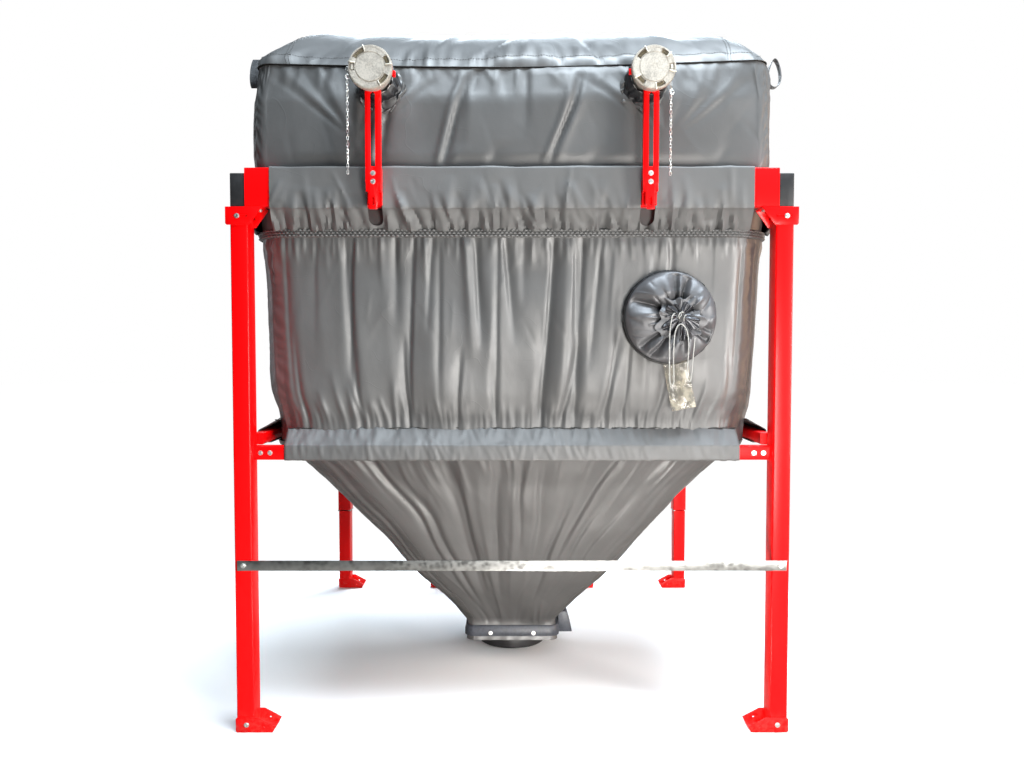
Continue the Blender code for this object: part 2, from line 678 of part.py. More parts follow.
def smooth_route(points, spacing):
    """Even steps along a smooth curve through the points."""
    fine = []
    for index in range(len(points) - 1):
        before = points[max(index - 1, 0)]
        start, end = points[index], points[index + 1]
        after = points[min(index + 2, len(points) - 1)]
        for step in range(20):
            t = step / 20
            square = 2 * before - 5 * start + 4 * end - after
            cube = 3 * start - before - 3 * end + after
            fine.append(0.5 * (2 * start + (end - before) * t + square * t * t + cube * t ** 3))
    fine.append(points[-1])
    length = sum((b - a).length for a, b in zip(fine, fine[1:]))
    count = max(2, round(length / spacing))
    even = [fine[0]]
    walked = 0.0
    for a, b in zip(fine, fine[1:]):
        piece = (b - a).length
        while len(even) < count and walked + piece >= length * len(even) / count:
            even.append(a.lerp(b, (length * len(even) / count - walked) / piece))
        walked += piece
    even.append(fine[-1])
    return even


def tube(name, route, radius, finish, root):
    curve = bpy.data.curves.new(name, "CURVE")
    curve.dimensions = "3D"
    curve.bevel_depth = radius
    curve.bevel_resolution = 2
    curve.use_fill_caps = True
    spline = curve.splines.new("POLY")
    spline.points.add(len(route) - 1)
    for spot, point in zip(spline.points, route):
        spot.co = (*point, 1.0)
    curve.materials.append(material(name, finish))
    return link(bpy.data.objects.new(name, curve), root)


def chains(root):
    for name, side in (("left", -1), ("right", 1)):
        across, up, length = CHAIN_DROPS[name]
        start = Vector((side * PIPE_X + across, -CHAIN_Y, PIPE_Z + up))
        count = round(length / CHAIN_STEP)
        route = [start - Vector((0, 0, length * step / count)) for step in range(count + 1)]
        tube(f"chain_{name}", route, CHAIN_RADIUS, BARE_STEEL, root)


def inspection_port(root):
    back = BAG_HALF - PORT_SEAT
    front = back + PORT_RIM_DEPTH
    centre = (PORT_X, 0, PORT_Z)
    rim = [
        (PORT_RADIUS - PORT_RIM_WALL, back), (PORT_RADIUS - PORT_RIM_TAPER, back),
        (PORT_RADIUS, front - PORT_RIM_EDGE), (PORT_RADIUS - PORT_RIM_TAPER, front),
        (PORT_RADIUS - PORT_RIM_WALL, front),
    ]
    turned("port_rim", rim, 36, centre, (0, -1, 0), BLACK_CLOTH, root)
    cover_back = front + GAP
    nose = cover_back + PORT_COVER_DEPTH
    cover = [(0.0, cover_back), (PORT_COVER_RADIUS, cover_back)]
    for step in range(1, 6):
        bend = step / 5 * math.pi / 2
        reach = PORT_NOSE_RADIUS + (PORT_COVER_RADIUS - PORT_NOSE_RADIUS) * math.cos(bend)
        cover.append((reach, cover_back + (PORT_COVER_DEPTH - PORT_NOSE_HEIGHT) * math.sin(bend)))
    cover += [(PORT_NOSE_RADIUS - PORT_NOSE_EDGE, nose), (0.0, nose)]
    turned("port_cover", cover, 36, centre, (0, -1, 0), BLACK_CLOTH, root)
    pouch(back, root)
    drawstring(nose, root)


def pouch(back, root):
    """A clear document pouch, whose leaning top edge meets the rim's underside."""
    bm = bmesh.new()
    half = POUCH_WIDTH / 2
    prism(bm, rectangle(-half, half, -POUCH_HEIGHT, 0.0), "xz", 0.0, POUCH_THICKNESS)
    rim = PORT_RADIUS - PORT_RIM_TAPER + GAP * 2
    drop = (rim - POUCH_SHIFT * math.sin(POUCH_LEAN)) / math.cos(POUCH_LEAN)
    place = Vector((PORT_X + POUCH_SHIFT, -back - POUCH_FORWARD, PORT_Z - drop))
    spin = Matrix.Rotation(-POUCH_LEAN, 4, "Y")
    bmesh.ops.transform(bm, matrix=Matrix.Translation(place) @ spin, verts=bm.verts)
    node("document_pouch", bm, CLEAR_FILM, root)


def drawstring(nose, root):
    """The cord that gathers the cover: two bights hang from the knot in front of it."""
    face = -nose - STRING_RADIUS - GAP
    hang = face - STRING_STAND
    route = [
        Vector((PORT_X + x, y, PORT_Z + z)) for x, y, z in (
            (0.004, face, 0.012), (-0.006, hang, 0.000), (-0.013, hang, -0.050), (-0.014, hang, -0.120),
            (-0.013, hang, -0.200), (-0.011, hang, -0.222), (-0.005, hang, -0.230), (0.001, hang, -0.222),
            (0.001, hang, -0.190), (0.000, hang, -0.110), (0.006, hang - 0.001, -0.045),
            (0.024, hang - 0.001, -0.024), (0.044, hang, -0.048), (0.050, hang, -0.100),
            (0.047, hang, -0.170), (0.047, hang, -0.206), (0.053, hang, -0.217),
            (0.059, hang, -0.206), (0.064, hang, -0.150), (0.071, hang, -0.070),
        )
    ]
    tube("drawstring", smooth_route(route, STRING_STEP), STRING_RADIUS, CORD, root)


def corner_loops(root):
    """Webbing loops on the bag's sides, near its top corners."""
    for name, side, end in corners():
        outline = []
        for step in range(16):
            bend = step / 16 * math.tau
            narrow = LOOP_NARROW + (1 - LOOP_NARROW) * (1 - math.sin(bend)) / 2
            across = LOOP_REACH / 2 * (1 + math.cos(bend) * narrow)
            outline.append((across, -LOOP_DROP / 2 + LOOP_DROP / 2 * math.sin(bend)))
        middle = (LOOP_REACH / 2, -LOOP_DROP / 2)
        inner = []
        for across, down in outline:
            pull = Vector((across - middle[0], down - middle[1]))
            pull *= 1 - LOOP_BAND / pull.length
            inner.append((middle[0] + pull.x, middle[1] + pull.y))
        low_y, high_y = sorted((end * LOOP_Y, end * (LOOP_Y - LOOP_WIDTH)))
        nearest = min(across for across, down in outline)
        base = BAG_HALF - LOOP_SEAT + GAP - nearest

        def ring(points, y):
            return [Vector((side * (base + across), y, LOOP_HIGH + down)) for across, down in points]

        rings = [ring(outline, low_y), ring(outline, high_y), ring(inner, high_y), ring(inner, low_y)]
        bm = skin(rings + [rings[0]])
        bmesh.ops.remove_doubles(bm, verts=bm.verts, dist=1e-5)
        node(f"corner_loop_{name}", bm, GREY_CLOTH, root, smooth=True)


def build():
    clear_scene()
    root = bpy.data.objects.new("silo", None)
    root.location = (0, CENTRE_Y, 0)
    bpy.context.scene.collection.objects.link(root)
    posts(root)
    shoes(root)
    corner_brackets(root)
    rear_props(root)
    rails(root)
    sleeves(root)
    tie_bar(root)
    bag(root)
    outlet(root)
    filling(root)
    chains(root)
    inspection_port(root)
    corner_loops(root)


build()
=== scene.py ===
import math
from contextlib import contextmanager

import bmesh
import bpy
import numpy as np
from mathutils import Matrix, Vector


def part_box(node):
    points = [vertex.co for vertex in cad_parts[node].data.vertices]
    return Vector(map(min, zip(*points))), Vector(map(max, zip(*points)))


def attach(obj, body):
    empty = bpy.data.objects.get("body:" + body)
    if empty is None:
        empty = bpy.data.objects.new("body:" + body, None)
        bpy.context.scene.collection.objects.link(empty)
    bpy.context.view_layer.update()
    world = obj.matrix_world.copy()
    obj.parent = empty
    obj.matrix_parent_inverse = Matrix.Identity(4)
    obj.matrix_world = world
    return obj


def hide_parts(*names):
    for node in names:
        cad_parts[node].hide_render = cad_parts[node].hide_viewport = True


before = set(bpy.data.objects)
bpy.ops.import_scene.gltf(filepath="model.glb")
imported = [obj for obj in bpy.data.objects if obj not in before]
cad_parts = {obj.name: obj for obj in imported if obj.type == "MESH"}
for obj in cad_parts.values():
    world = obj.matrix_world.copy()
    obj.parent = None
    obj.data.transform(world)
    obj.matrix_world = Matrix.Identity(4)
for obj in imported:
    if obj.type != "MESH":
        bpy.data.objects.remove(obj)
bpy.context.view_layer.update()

bl_info = {
    "name": "Fabric pellet silo",
    "version": (1, 0, 0),
    "blender": (4, 5, 0),
    "location": "3D View > Sidebar > Silo",
    "description": "Dresses the frame of a fabric pellet silo with its cloth, steel and fittings",
    "category": "Object",
}

# All sizes are in metres. X runs across the front, Y from the front to the back, Z up.
BODY = "root"
QUARTER = math.pi / 2
MERGE = 0.00001

# The frame's own sizes
RAIL_LOW, RAIL_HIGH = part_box("upper_rail_front")
CENTRE_Y = (RAIL_LOW.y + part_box("upper_rail_rear")[1].y) / 2
FRAME_HALF = CENTRE_Y - RAIL_LOW.y
SIDE_RAIL_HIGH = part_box("upper_rail_left")[1].z
SIDE_RAIL_END = CENTRE_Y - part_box("upper_rail_left")[0].y
LOWER_LOW, LOWER_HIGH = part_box("lower_rail_front")
LOWER_FACE = CENTRE_Y - LOWER_LOW.y
LOWER_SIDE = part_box("lower_rail_left")
HEM_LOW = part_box("upper_sleeve_front")[0].z + 0.006
UPPER_SLEEVE_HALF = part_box("upper_sleeve_front")[1].x
LOWER_SLEEVE_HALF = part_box("lower_sleeve_front")[1].x

# The bag
SEAM_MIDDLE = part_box("bag_top")[0].z
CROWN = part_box("bag_top")[1].z
BAG_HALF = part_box("bag_top")[1].x
BAG_RADIUS = 0.17
HEM_RADIUS = 0.162
CORNER_RADIUS = 0.060
SEAM_HALF = BAG_HALF - 0.014
WAIST_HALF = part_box("hopper")[1].x
WAIST_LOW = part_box("bag_wall")[0].z
WAIST_HIGH = WAIST_LOW + 0.085
SEAM_CORNER_RISE = 0.020
HEM_HEIGHT = 0.027
HEM_PUCKER = 0.0150
STRAIGHT = BAG_HALF - BAG_RADIUS
SIDE_LENGTH = 2 * STRAIGHT + BAG_RADIUS * QUARTER
ROUND_LENGTH = 4 * SIDE_LENGTH

# The notch in the front upper sleeve for each arm: from and to, across and up
NOTCH_ACROSS = (-0.0265, 0.0225)
NOTCH_UP = (-0.040, 0.118)

# Folds that stand out on the front: place across, middle height, reach, width, depth as a share of the
# fold depth, lean and skew. Below the hem:
FRONT_PLEATS = (
    (-0.119, 1.60, 0.28, 0.010, -2.0, -0.04, 0.5),
    (-0.150, 1.56, 0.30, 0.018, 1.3, -0.04, 0.3),
    (0.124, 1.40, 0.55, 0.011, -2.1, 0.04, 0.5),
    (0.178, 1.45, 0.50, 0.030, 1.2, 0.02, 0.0),
    (0.216, 1.55, 0.22, 0.008, -1.4, 0.0, 0.6),
    (0.204, 1.18, 0.20, 0.013, -2.0, 0.165, 0.4),
    (0.345, 1.20, 0.20, 0.010, -1.6, 0.15, 0.3),
    (-0.015, 1.58, 0.25, 0.012, -1.7, -0.10, 0.5),
)
# Above the rails:
FRONT_SLANTS = (
    (0.134, 2.085, 0.18, 0.010, 1.8, 0.30, 0.4),
    (0.151, 2.085, 0.19, 0.008, -3.4, 0.30, 0.3),
    (0.169, 2.100, 0.16, 0.009, 1.8, 0.32, 0.4),
    (-0.188, 2.080, 0.20, 0.011, 1.8, 0.275, 0.4),
    (-0.168, 2.080, 0.20, 0.008, -3.0, 0.275, 0.3),
    (-0.100, 2.240, 0.08, 0.012, -1.3, 0.20, 0.3),
    (-0.405, 2.090, 0.22, 0.014, 1.9, 0.13, 0.5),
    (-0.380, 2.090, 0.20, 0.009, -2.6, 0.13, 0.3),
    (0.795, 2.120, 0.09, 0.010, -1.7, 0.45, 0.3),
    (0.800, 2.035, 0.10, 0.012, -1.9, 0.50, 0.3),
    (0.785, 1.990, 0.10, 0.010, 1.5, 0.50, 0.3),
)

# The bag below the hem: height, half width, corner radius and bulge
WALL_RINGS = (
    (3.0, BAG_HALF, HEM_RADIUS, 0.0),
    (HEM_LOW, BAG_HALF, HEM_RADIUS, 0.0),
    (1.600, BAG_HALF - 0.010, 0.149, 0.006),
    (1.400, BAG_HALF - 0.015, 0.157, 0.013),
    (1.250, BAG_HALF - 0.018, 0.162, 0.009),
    (1.160, BAG_HALF - 0.024, 0.166, 0.004),
    (WAIST_HIGH, WAIST_HALF, BAG_RADIUS, 0.0),
    (WAIST_LOW, WAIST_HALF, BAG_RADIUS, 0.0),
)

# Hopper: height, half width and corner radius down to the outlet
HOPPER_RINGS = (
    (0.990, 0.850, 0.170),
    (0.976, 0.850, 0.170),
    (0.920, 0.785, 0.165),
    (0.800, 0.690, 0.155),
    (0.662, 0.584, 0.135),
    (0.520, 0.482, 0.115),
    (0.374, 0.378, 0.090),
    (0.262, 0.276, 0.065),
    (0.180, 0.214, 0.045),
    (0.150, 0.190, 0.030),
    (0.067, 0.190, 0.030),
)

# Steel frame: a rear post's wall, its jacket and the bare edge below, from one height to another
POST_WALL = 0.0035
JACKET_HEIGHTS = (0.43, 0.93)
JACKET_EDGE_HEIGHTS = (0.424, 0.4298)
# The rounding of bent plates, and a depth that cuts through any of them
BENT_EDGE = 0.0012
THROUGH = 0.4
# How far the inserts reach past a side rail's ends, from and to
INSERT_REACH = (0.0003, 0.006)
# Slots of a shoe: how far in from its corner, height and length
SHOE_SLOTS = ((0.0347, 0.027, 0.020), (0.095, 0.020, 0.007))
SHOE_SLOT_WIDTH = 0.0068
# A bracket's slot: how far across from the middle, length and width
BRACKET_SLOT = (0.915, 0.052, 0.009)
# Bolts: how far across from the middle, and how high
BRACKET_BOLT = (0.9252, 1.770)
SHOE_BOLT = (0.9153, 0.027)
TIE_BOLT = (0.9200, 0.5815)
CLAMP_BOLT = (0.092, 0.1004)
RAIL_BOLTS_ACROSS = (0.8684, 0.8356)
ARM_BOLT_HEIGHTS = (1.9033, 1.8755)
# Those under the brackets, and how far behind the frame's face
UNDER_BOLT = (0.862, 1.7965)
UNDER_BOLT_DEPTHS = (0.030, 0.055)

# Filling pipes
PIPE_X = (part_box("fill_pipe_right")[0].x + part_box("fill_pipe_right")[1].x) / 2
PIPE_Z = (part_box("fill_pipe_right")[0].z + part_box("fill_pipe_right")[1].z) / 2
PIPE_RADIUS = 0.055
CAP_BACK, CAP_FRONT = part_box("fill_cap_left")[1].y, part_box("fill_cap_left")[0].y
CAP_RADIUS = (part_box("fill_cap_left")[1].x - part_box("fill_cap_left")[0].x) / 2
CAP_EDGE = 0.0015
LEVER_RADIUS = 0.073
# The cap's face from its side inwards, as steps of (inset, rise)
CAP_STEPS = (
    (0.0, 0.002), (0.0020, 0.0020), (0.0020, 0.0006), (0.0025, 0.0), (0.0010, -0.0006), (0.0130, 0.0),
    (0.0010, -0.0016), (0.0020, 0.0), (0.0010, 0.0030), (0.0340, 0.0), (0.0010, -0.0006),
)
# The neck's radius, from the wall (0) to its loose end (1)
NECK_PROFILE = (
    (0.00, 0.071), (0.10, 0.070), (0.30, 0.070), (0.45, 0.070), (0.65, 0.066), (0.80, 0.059), (0.84, 0.0585),
    (0.90, 0.062), (1.00, 0.065),
)
ARM_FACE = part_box("fill_arm_left")[0].y
# The arms: their slot's height, length and width, and the height below which they are narrower
ARM_SLOT = (1.8110, 0.030, 0.010)
ARM_STEP = 1.8440
# Where the caps' rims are open, from one angle to another in degrees, as seen from the front
CAP_RECESSES = {"left": ((166, 192), (108, 150), (8, 36), (-60, -24)),
                "right": ((-12, 12), (40, 66), (115, 150), (-150, -120), (-84, -54))}

# Chains, as their solids lie: across and up from the pipe, and the length
CHAIN_Y = CENTRE_Y - 1.043
CHAIN_DROPS = {"left": (-0.0753, 0.0, 0.339), "right": (0.0563, -0.0485, 0.295)}
LINK_PITCH = 0.0110
LINK_HALF = 0.004

# Inspection port
PORT_LOW, PORT_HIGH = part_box("port_cover")
PORT_X = (PORT_LOW.x + PORT_HIGH.x) / 2
PORT_Z = (PORT_LOW.z + PORT_HIGH.z) / 2
PORT_RADIUS = (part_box("port_rim")[1].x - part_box("port_rim")[0].x) / 2
PORT_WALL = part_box("port_rim")[1].y
KNOT_SHIFT = 0.026
# Turns of the cord round the knot: across, up, radius and tilt
KNOT_TURNS = (
    (0.0, 0.0, 0.0150, 0.0),
    (0.001, 0.004, 0.0125, 0.5),
    (0.012, -0.004, 0.0095, 1.0),
    (-0.008, 0.006, 0.0080, -0.6),
)
# Frills of the cover's mouth: start and end radius, ruffles, their least width, how far back, and the finish
FRILLS = {
    "outer": (0.016, 0.080, 13, 0.07, 0.010, "port_cloth"),
    "inner": (0.010, 0.058, 36, 0.035, 0.003, "frill_cloth"),
}

# The drawstring's centreline, as its solid lies: across, back and up from the port's middle, where it hangs
STRING_RADIUS = 0.002
STRING_HANG = PORT_LOW.y - STRING_RADIUS - 0.0003 - 0.002
STRING_ROUTE = (
    (0.004, 0.002, 0.012), (-0.006, 0.0, 0.000), (-0.013, 0.0, -0.050),
    (-0.014, 0.0, -0.120), (-0.013, 0.0, -0.200), (-0.011, 0.0, -0.222),
    (-0.005, 0.0, -0.230), (0.001, 0.0, -0.222), (0.001, 0.0, -0.190),
    (0.000, 0.0, -0.110), (0.006, -0.001, -0.045), (0.024, -0.001, -0.024),
    (0.044, 0.0, -0.048), (0.050, 0.0, -0.100), (0.047, 0.0, -0.170),
    (0.047, 0.0, -0.206), (0.053, 0.0, -0.217), (0.059, 0.0, -0.206),
    (0.064, 0.0, -0.150), (0.071, 0.0, -0.070),
)

# The camera: how far it stands from the frame's front, its height, and how far it looks down
EYE_DISTANCE = 3.0
EYE_HEIGHT = 1.338
EYE_PITCH = math.radians(2.563)

CORNERS = tuple((f"{end}_{side}", x, y) for end, y in (("front", -1), ("rear", 1))
                for side, x in (("left", -1), ("right", 1)))
SIDES = (("front", 0), ("right", 1), ("rear", 2), ("left", 3))
HANDS = (("left", -1), ("right", 1))

BLACK, WHITE = (0.0, 0.0, 0.0), (1.0, 1.0, 1.0)

# Filled once, when the first step runs
MATERIALS = {}
GROUPS = {}


# Modelling by hand: selecting, editing and finishing


def deselect():
    """Leave edit mode, with nothing selected."""
    if bpy.context.mode != "OBJECT":
        bpy.ops.object.mode_set(mode="OBJECT")
    bpy.ops.object.select_all(action="DESELECT")


def take(obj):
    """Select one object alone and make it the active one."""
    deselect()
    bpy.context.view_layer.objects.active = obj
    obj.select_set(True)
    return obj


@contextmanager
def editing(obj):
    """Edit mode on one object, with nothing selected at the start."""
    take(obj)
    bpy.ops.object.mode_set(mode="EDIT")
    bpy.ops.mesh.select_all(action="DESELECT")
    yield obj
    bpy.ops.object.mode_set(mode="OBJECT")


def pick_faces(obj, test):
    """Select the faces whose middle and normal pass the test."""
    bpy.ops.mesh.select_mode(type="FACE")
    bpy.ops.mesh.select_all(action="DESELECT")
    mesh = bmesh.from_edit_mesh(obj.data)
    for face in mesh.faces:
        face.select = bool(test(face.calc_center_median(), face.normal))
    bmesh.update_edit_mesh(obj.data)


def pick_edges(obj, test):
    """Select the edges whose two ends pass the test."""
    bpy.ops.mesh.select_mode(type="EDGE")
    bpy.ops.mesh.select_all(action="DESELECT")
    mesh = bmesh.from_edit_mesh(obj.data)
    for edge in mesh.edges:
        edge.select = bool(test(edge.verts[0].co, edge.verts[1].co))
    mesh.select_flush_mode()
    bmesh.update_edit_mesh(obj.data)


def turned_out(obj, merge=0.0, closed=False):
    """Merge doubled corners, close the open ends where asked, and turn every face outwards."""
    with editing(obj):
        bpy.ops.mesh.select_all(action="SELECT")
        if merge:
            bpy.ops.mesh.remove_doubles(threshold=merge)
        if closed:
            bpy.ops.mesh.edge_face_add()
        bpy.ops.mesh.normals_make_consistent(inside=False)
    return obj


def linked(name, data):
    """A new object in the scene for a mesh, a curve, a light or the camera."""
    obj = bpy.data.objects.new(name, data)
    bpy.context.scene.collection.objects.link(obj)
    return obj


def settle(obj):
    """Put the object's place, turn and size into its mesh."""
    take(obj)
    bpy.ops.object.transform_apply(location=True, rotation=True, scale=True)
    return obj


def named(name):
    """The primitive that was added last, settled under its own name."""
    obj = bpy.context.object
    obj.name = name
    return settle(obj)


def smooth(obj, degrees=35):
    """Shade smooth, except where faces meet at more than the angle."""
    take(obj)
    bpy.ops.object.shade_smooth_by_angle(angle=math.radians(degrees))
    return obj


def modified(obj, kind, **settings):
    """Add a modifier, set it and apply it."""
    take(obj)
    change = obj.modifiers.new(kind.lower(), kind)
    for name, value in settings.items():
        setattr(change, name, value)
    bpy.ops.object.modifier_apply(modifier=change.name)
    return obj


def finish_piece(obj, look, replaces=()):
    """Give a piece its material, and let it ride on the silo's one body."""
    obj.data.materials.clear()
    obj.data.materials.append(MATERIALS[look])
    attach(obj, BODY)
    if replaces:
        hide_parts(*replaces)
    return obj


def block(name, low, high, edge=0.0, segments=3, along=None):
    """A box from its lowest to its highest corner, with the edges that run along an axis rounded."""
    low, high = Vector(low), Vector(high)
    deselect()
    bpy.ops.mesh.primitive_cube_add(size=1, location=(low + high) / 2, scale=high - low)
    obj = named(name)
    if edge:
        with editing(obj):
            if along is None:
                bpy.ops.mesh.select_all(action="SELECT")
            else:
                others = [axis for axis in range(3) if axis != along]
                pick_edges(obj, lambda a, b: all(abs(a[axis] - b[axis]) < 1e-6 for axis in others))
            bpy.ops.mesh.bevel(offset=edge, segments=segments, affect="EDGES", profile=0.5)
    return smooth(obj)


def disc(name, radius, depth, vertices):
    """A disc on the XY plane, from z 0 up to its depth."""
    deselect()
    bpy.ops.mesh.primitive_cylinder_add(vertices=vertices, radius=radius, depth=depth,
                                        location=(0, 0, depth / 2))
    return named(name)


def round_bar_ring(name, radius, bar, segments, place=(0, 0, 0), bar_segments=8):
    """A ring of round bar or cord that faces the front."""
    deselect()
    bpy.ops.mesh.primitive_torus_add(major_radius=radius, minor_radius=bar, major_segments=segments,
                                     minor_segments=bar_segments, location=place, rotation=(QUARTER, 0, 0))
    return named(name)


def stepped(obj, steps):
    """Inset the top face of a disc and move it up or down, once for each step of (inset, rise)."""
    with editing(obj):
        height = max(vert.co.z for vert in bmesh.from_edit_mesh(obj.data).verts)
        pick_faces(obj, lambda middle, normal: normal.z > 0.9 and middle.z > height - 1e-6)
        for inset, rise in steps:
            if inset:
                bpy.ops.mesh.inset(thickness=inset, depth=0)
            if rise:
                bpy.ops.mesh.extrude_region_move(TRANSFORM_OT_translate={"value": (0, 0, rise)})
    return obj


def moved(obj, matrix):
    """Move and turn a piece, with the place kept in its mesh."""
    obj.matrix_world = matrix
    return settle(obj)


def facing_front(x, y, z):
    """A place whose local Z points out of the front."""
    return Matrix.Translation((x, y, z)) @ Matrix.Rotation(QUARTER, 4, "X")


def facing_back(x, y, z):
    """A place whose local Z points out of the back."""
    return Matrix.Translation((x, y, z)) @ Matrix.Rotation(-QUARTER, 4, "X")


def remade(node, name, edge, segments=2):
    """A merged copy of a CAD node with its edges rounded."""
    obj = take(linked(name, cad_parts[node].data.copy()))
    bpy.ops.mesh.customdata_custom_splitnormals_clear()
    with editing(obj):
        bpy.ops.mesh.select_all(action="SELECT")
        bpy.ops.mesh.remove_doubles(threshold=0.00002)
        bpy.ops.mesh.dissolve_limited(angle_limit=math.radians(1))
    modified(obj, "BEVEL", width=edge, segments=segments, limit_method="ANGLE",
             angle_limit=math.radians(40), harden_normals=False)
    return smooth(obj)


def remade_as(node, name, edge, look, segments=2):
    """A CAD node with its edges rounded, finished in its own place."""
    return finish_piece(remade(node, name, edge, segments), look, [node])


def cut_out(obj, tool):
    """Cut a hole with a helper shape, which is then removed."""
    modified(obj, "BOOLEAN", object=tool, operation="DIFFERENCE", solver="EXACT")
    bpy.data.objects.remove(tool, do_unlink=True)
    return smooth(obj)


def slot_tool(x, y, z, length, width, depth, upright=False):
    """A round-ended slot through a plate that faces the front."""
    across, high = (width, length) if upright else (length, width)
    tool = block("slot_tool", (-across / 2, -depth / 2, -high / 2), (across / 2, depth / 2, high / 2),
                 width * 0.49, 4, along=1)
    return moved(tool, Matrix.Translation((x, y, z)))


def strewn(name, master, places, keep=False):
    """One mesh that repeats the master at each place. The master is removed unless it is kept."""
    verts = np.array([vert.co for vert in master.data.vertices])
    faces = [tuple(face.vertices) for face in master.data.polygons]
    points, rings = [], []
    for index, place in enumerate(places):
        matrix = np.array(place)
        points.append(verts @ matrix[:3, :3].T + matrix[:3, 3])
        start = index * len(verts)
        rings += [tuple(start + corner for corner in face) for face in faces]
    mesh = bpy.data.meshes.new(name)
    mesh.from_pydata(np.concatenate(points).tolist(), [], rings)
    if not keep:
        bpy.data.objects.remove(master, do_unlink=True)
    return smooth(linked(name, mesh))


# Cloth: rings and sheets of points, and the folds on them


def rounded_square(half, radius, side_columns, corner_columns, bulge=0.0):
    """Points and outward normals round a square with round corners, from the front's left end."""
    straight = half - radius
    points, facings = [], []
    along = straight * (2 * np.arange(side_columns) / side_columns - 1)
    out = half + bulge * np.cos(along / straight * QUARTER)
    bend = QUARTER * (np.arange(corner_columns) / corner_columns - 1)
    side = np.stack([along, -out], 1)
    corner = np.stack([straight + radius * np.cos(bend), -straight + radius * np.sin(bend)], 1)
    side_facing = np.tile((0.0, -1.0), (side_columns, 1))
    corner_facing = np.stack([np.cos(bend), np.sin(bend)], 1)
    for quarter in range(4):
        c, s = math.cos(quarter * QUARTER), math.sin(quarter * QUARTER)
        turn = np.array(((c, s), (-s, c)))
        points.append(np.concatenate([side, corner]) @ turn)
        facings.append(np.concatenate([side_facing, corner_facing]) @ turn)
    return np.concatenate(points), np.concatenate(facings)


def arc_round(columns, shape):
    """How far each column lies round the bag, and how near it is to a corner, from 0 to 1."""
    side_columns, corner_columns = columns
    along = 2 * STRAIGHT * np.arange(side_columns) / side_columns
    bend = 2 * STRAIGHT + BAG_RADIUS * QUARTER * np.arange(corner_columns) / corner_columns
    one = np.concatenate([along, bend])
    near = np.concatenate([np.abs(2 * np.arange(side_columns) / side_columns - 1), np.ones(corner_columns)])
    arc = np.concatenate([one + quarter * SIDE_LENGTH for quarter in range(4)])
    return np.broadcast_to(arc, shape), np.broadcast_to(np.tile(near, 4), shape)


def eased(at, known, values, blur=0.03):
    """Values at these heights, with the bends between the known ones rounded."""
    order = np.argsort(known)
    known, values = np.array(known)[order], np.array(values)[order]
    steps = np.linspace(-1.5, 1.5, 7)
    weights = np.exp(-steps ** 2)
    total = sum(weight * np.interp(at + step * blur, known, values) for step, weight in zip(steps, weights))
    return total / weights.sum()


def ramp(value, span):
    """From 0 to 1 while the value goes from 0 to its span."""
    return np.clip(value / span, 0, 1)


def scattered(rng, count, length, middle, reach, width, depth, lean, skew=0.4):
    """Folds spread along a length: place, middle height, reach, width, depth, lean and skew."""
    place = (np.arange(count) + rng.uniform(-0.4, 0.4, count)) / count * length

    def between(pair):
        return rng.uniform(min(pair), max(pair), count)

    side = rng.uniform(-skew, skew, count)
    drawn = [between(pair) for pair in (middle, reach, width, depth, lean)]
    return np.stack([place, *drawn, side], 1)


def fold_rows(rng, length, deep, *rows):
    """Scattered folds of several kinds. A row holds the count, middle, reach, width, depth as a share of the
    fold depth, lean and skew."""
    return np.concatenate([
        scattered(rng, count, length, middle, reach, width, (low * deep, high * deep), lean, skew)
        for count, middle, reach, width, (low, high), lean, skew in rows
    ])


def fold_field(arc, height, folds, length=0.0):
    """The sum of the folds at each point: sharp in their middle, wider towards their ends. A length closes
    the sheet on itself."""
    total = np.zeros(np.broadcast(arc, height).shape)
    for place, middle, reach, width, depth, lean, skew in folds:
        rise = np.broadcast_to(height - middle, total.shape)
        off = arc - place - lean * rise
        if length:
            off = (off + length / 2) % length - length / 2
        share = np.abs(rise) / reach
        spots = (np.abs(off) < 6 * width) & (share < 1)
        near, share = off[spots], share[spots]
        wide = width * (1 + 0.6 * share)
        across = np.abs(near) / (wide * (1 + skew * np.tanh(near / wide)))
        total[spots] += depth * (1 - share ** 2) * np.exp(-across ** 1.6)
    return total


def drift(rng, points, scale):
    """Soft unevenness, from about -1 to 1, that depends only on the place."""
    waves = 9
    total = np.zeros(points.shape[:-1])
    for _ in range(waves):
        way = rng.normal(size=3)
        way *= rng.uniform(0.6, 1.6) * math.tau / scale / np.linalg.norm(way)
        total += np.cos(points @ way + rng.uniform(0, math.tau))
    return total / waves ** 0.5 / 1.4


def flat_normals(facing):
    """Level normals from the directions that a ring's points face."""
    return np.column_stack([facing, np.zeros(len(facing))])


def shell(rings, columns, heights, blur=0.03):
    """Points and normals of a closed shell. Rings are (height, half width, corner radius, bulge)."""
    known = [ring[0] for ring in rings]
    rows = []
    for height in heights:
        half, radius, bulge = (float(eased(np.array(height), known, [ring[k] for ring in rings], blur))
                               for k in (1, 2, 3))
        ring, facing = rounded_square(half, radius, *columns, bulge)
        rows.append(np.column_stack([ring, np.full(len(ring), height)]))
    points = np.array(rows)
    return points, np.broadcast_to(flat_normals(facing), points.shape)


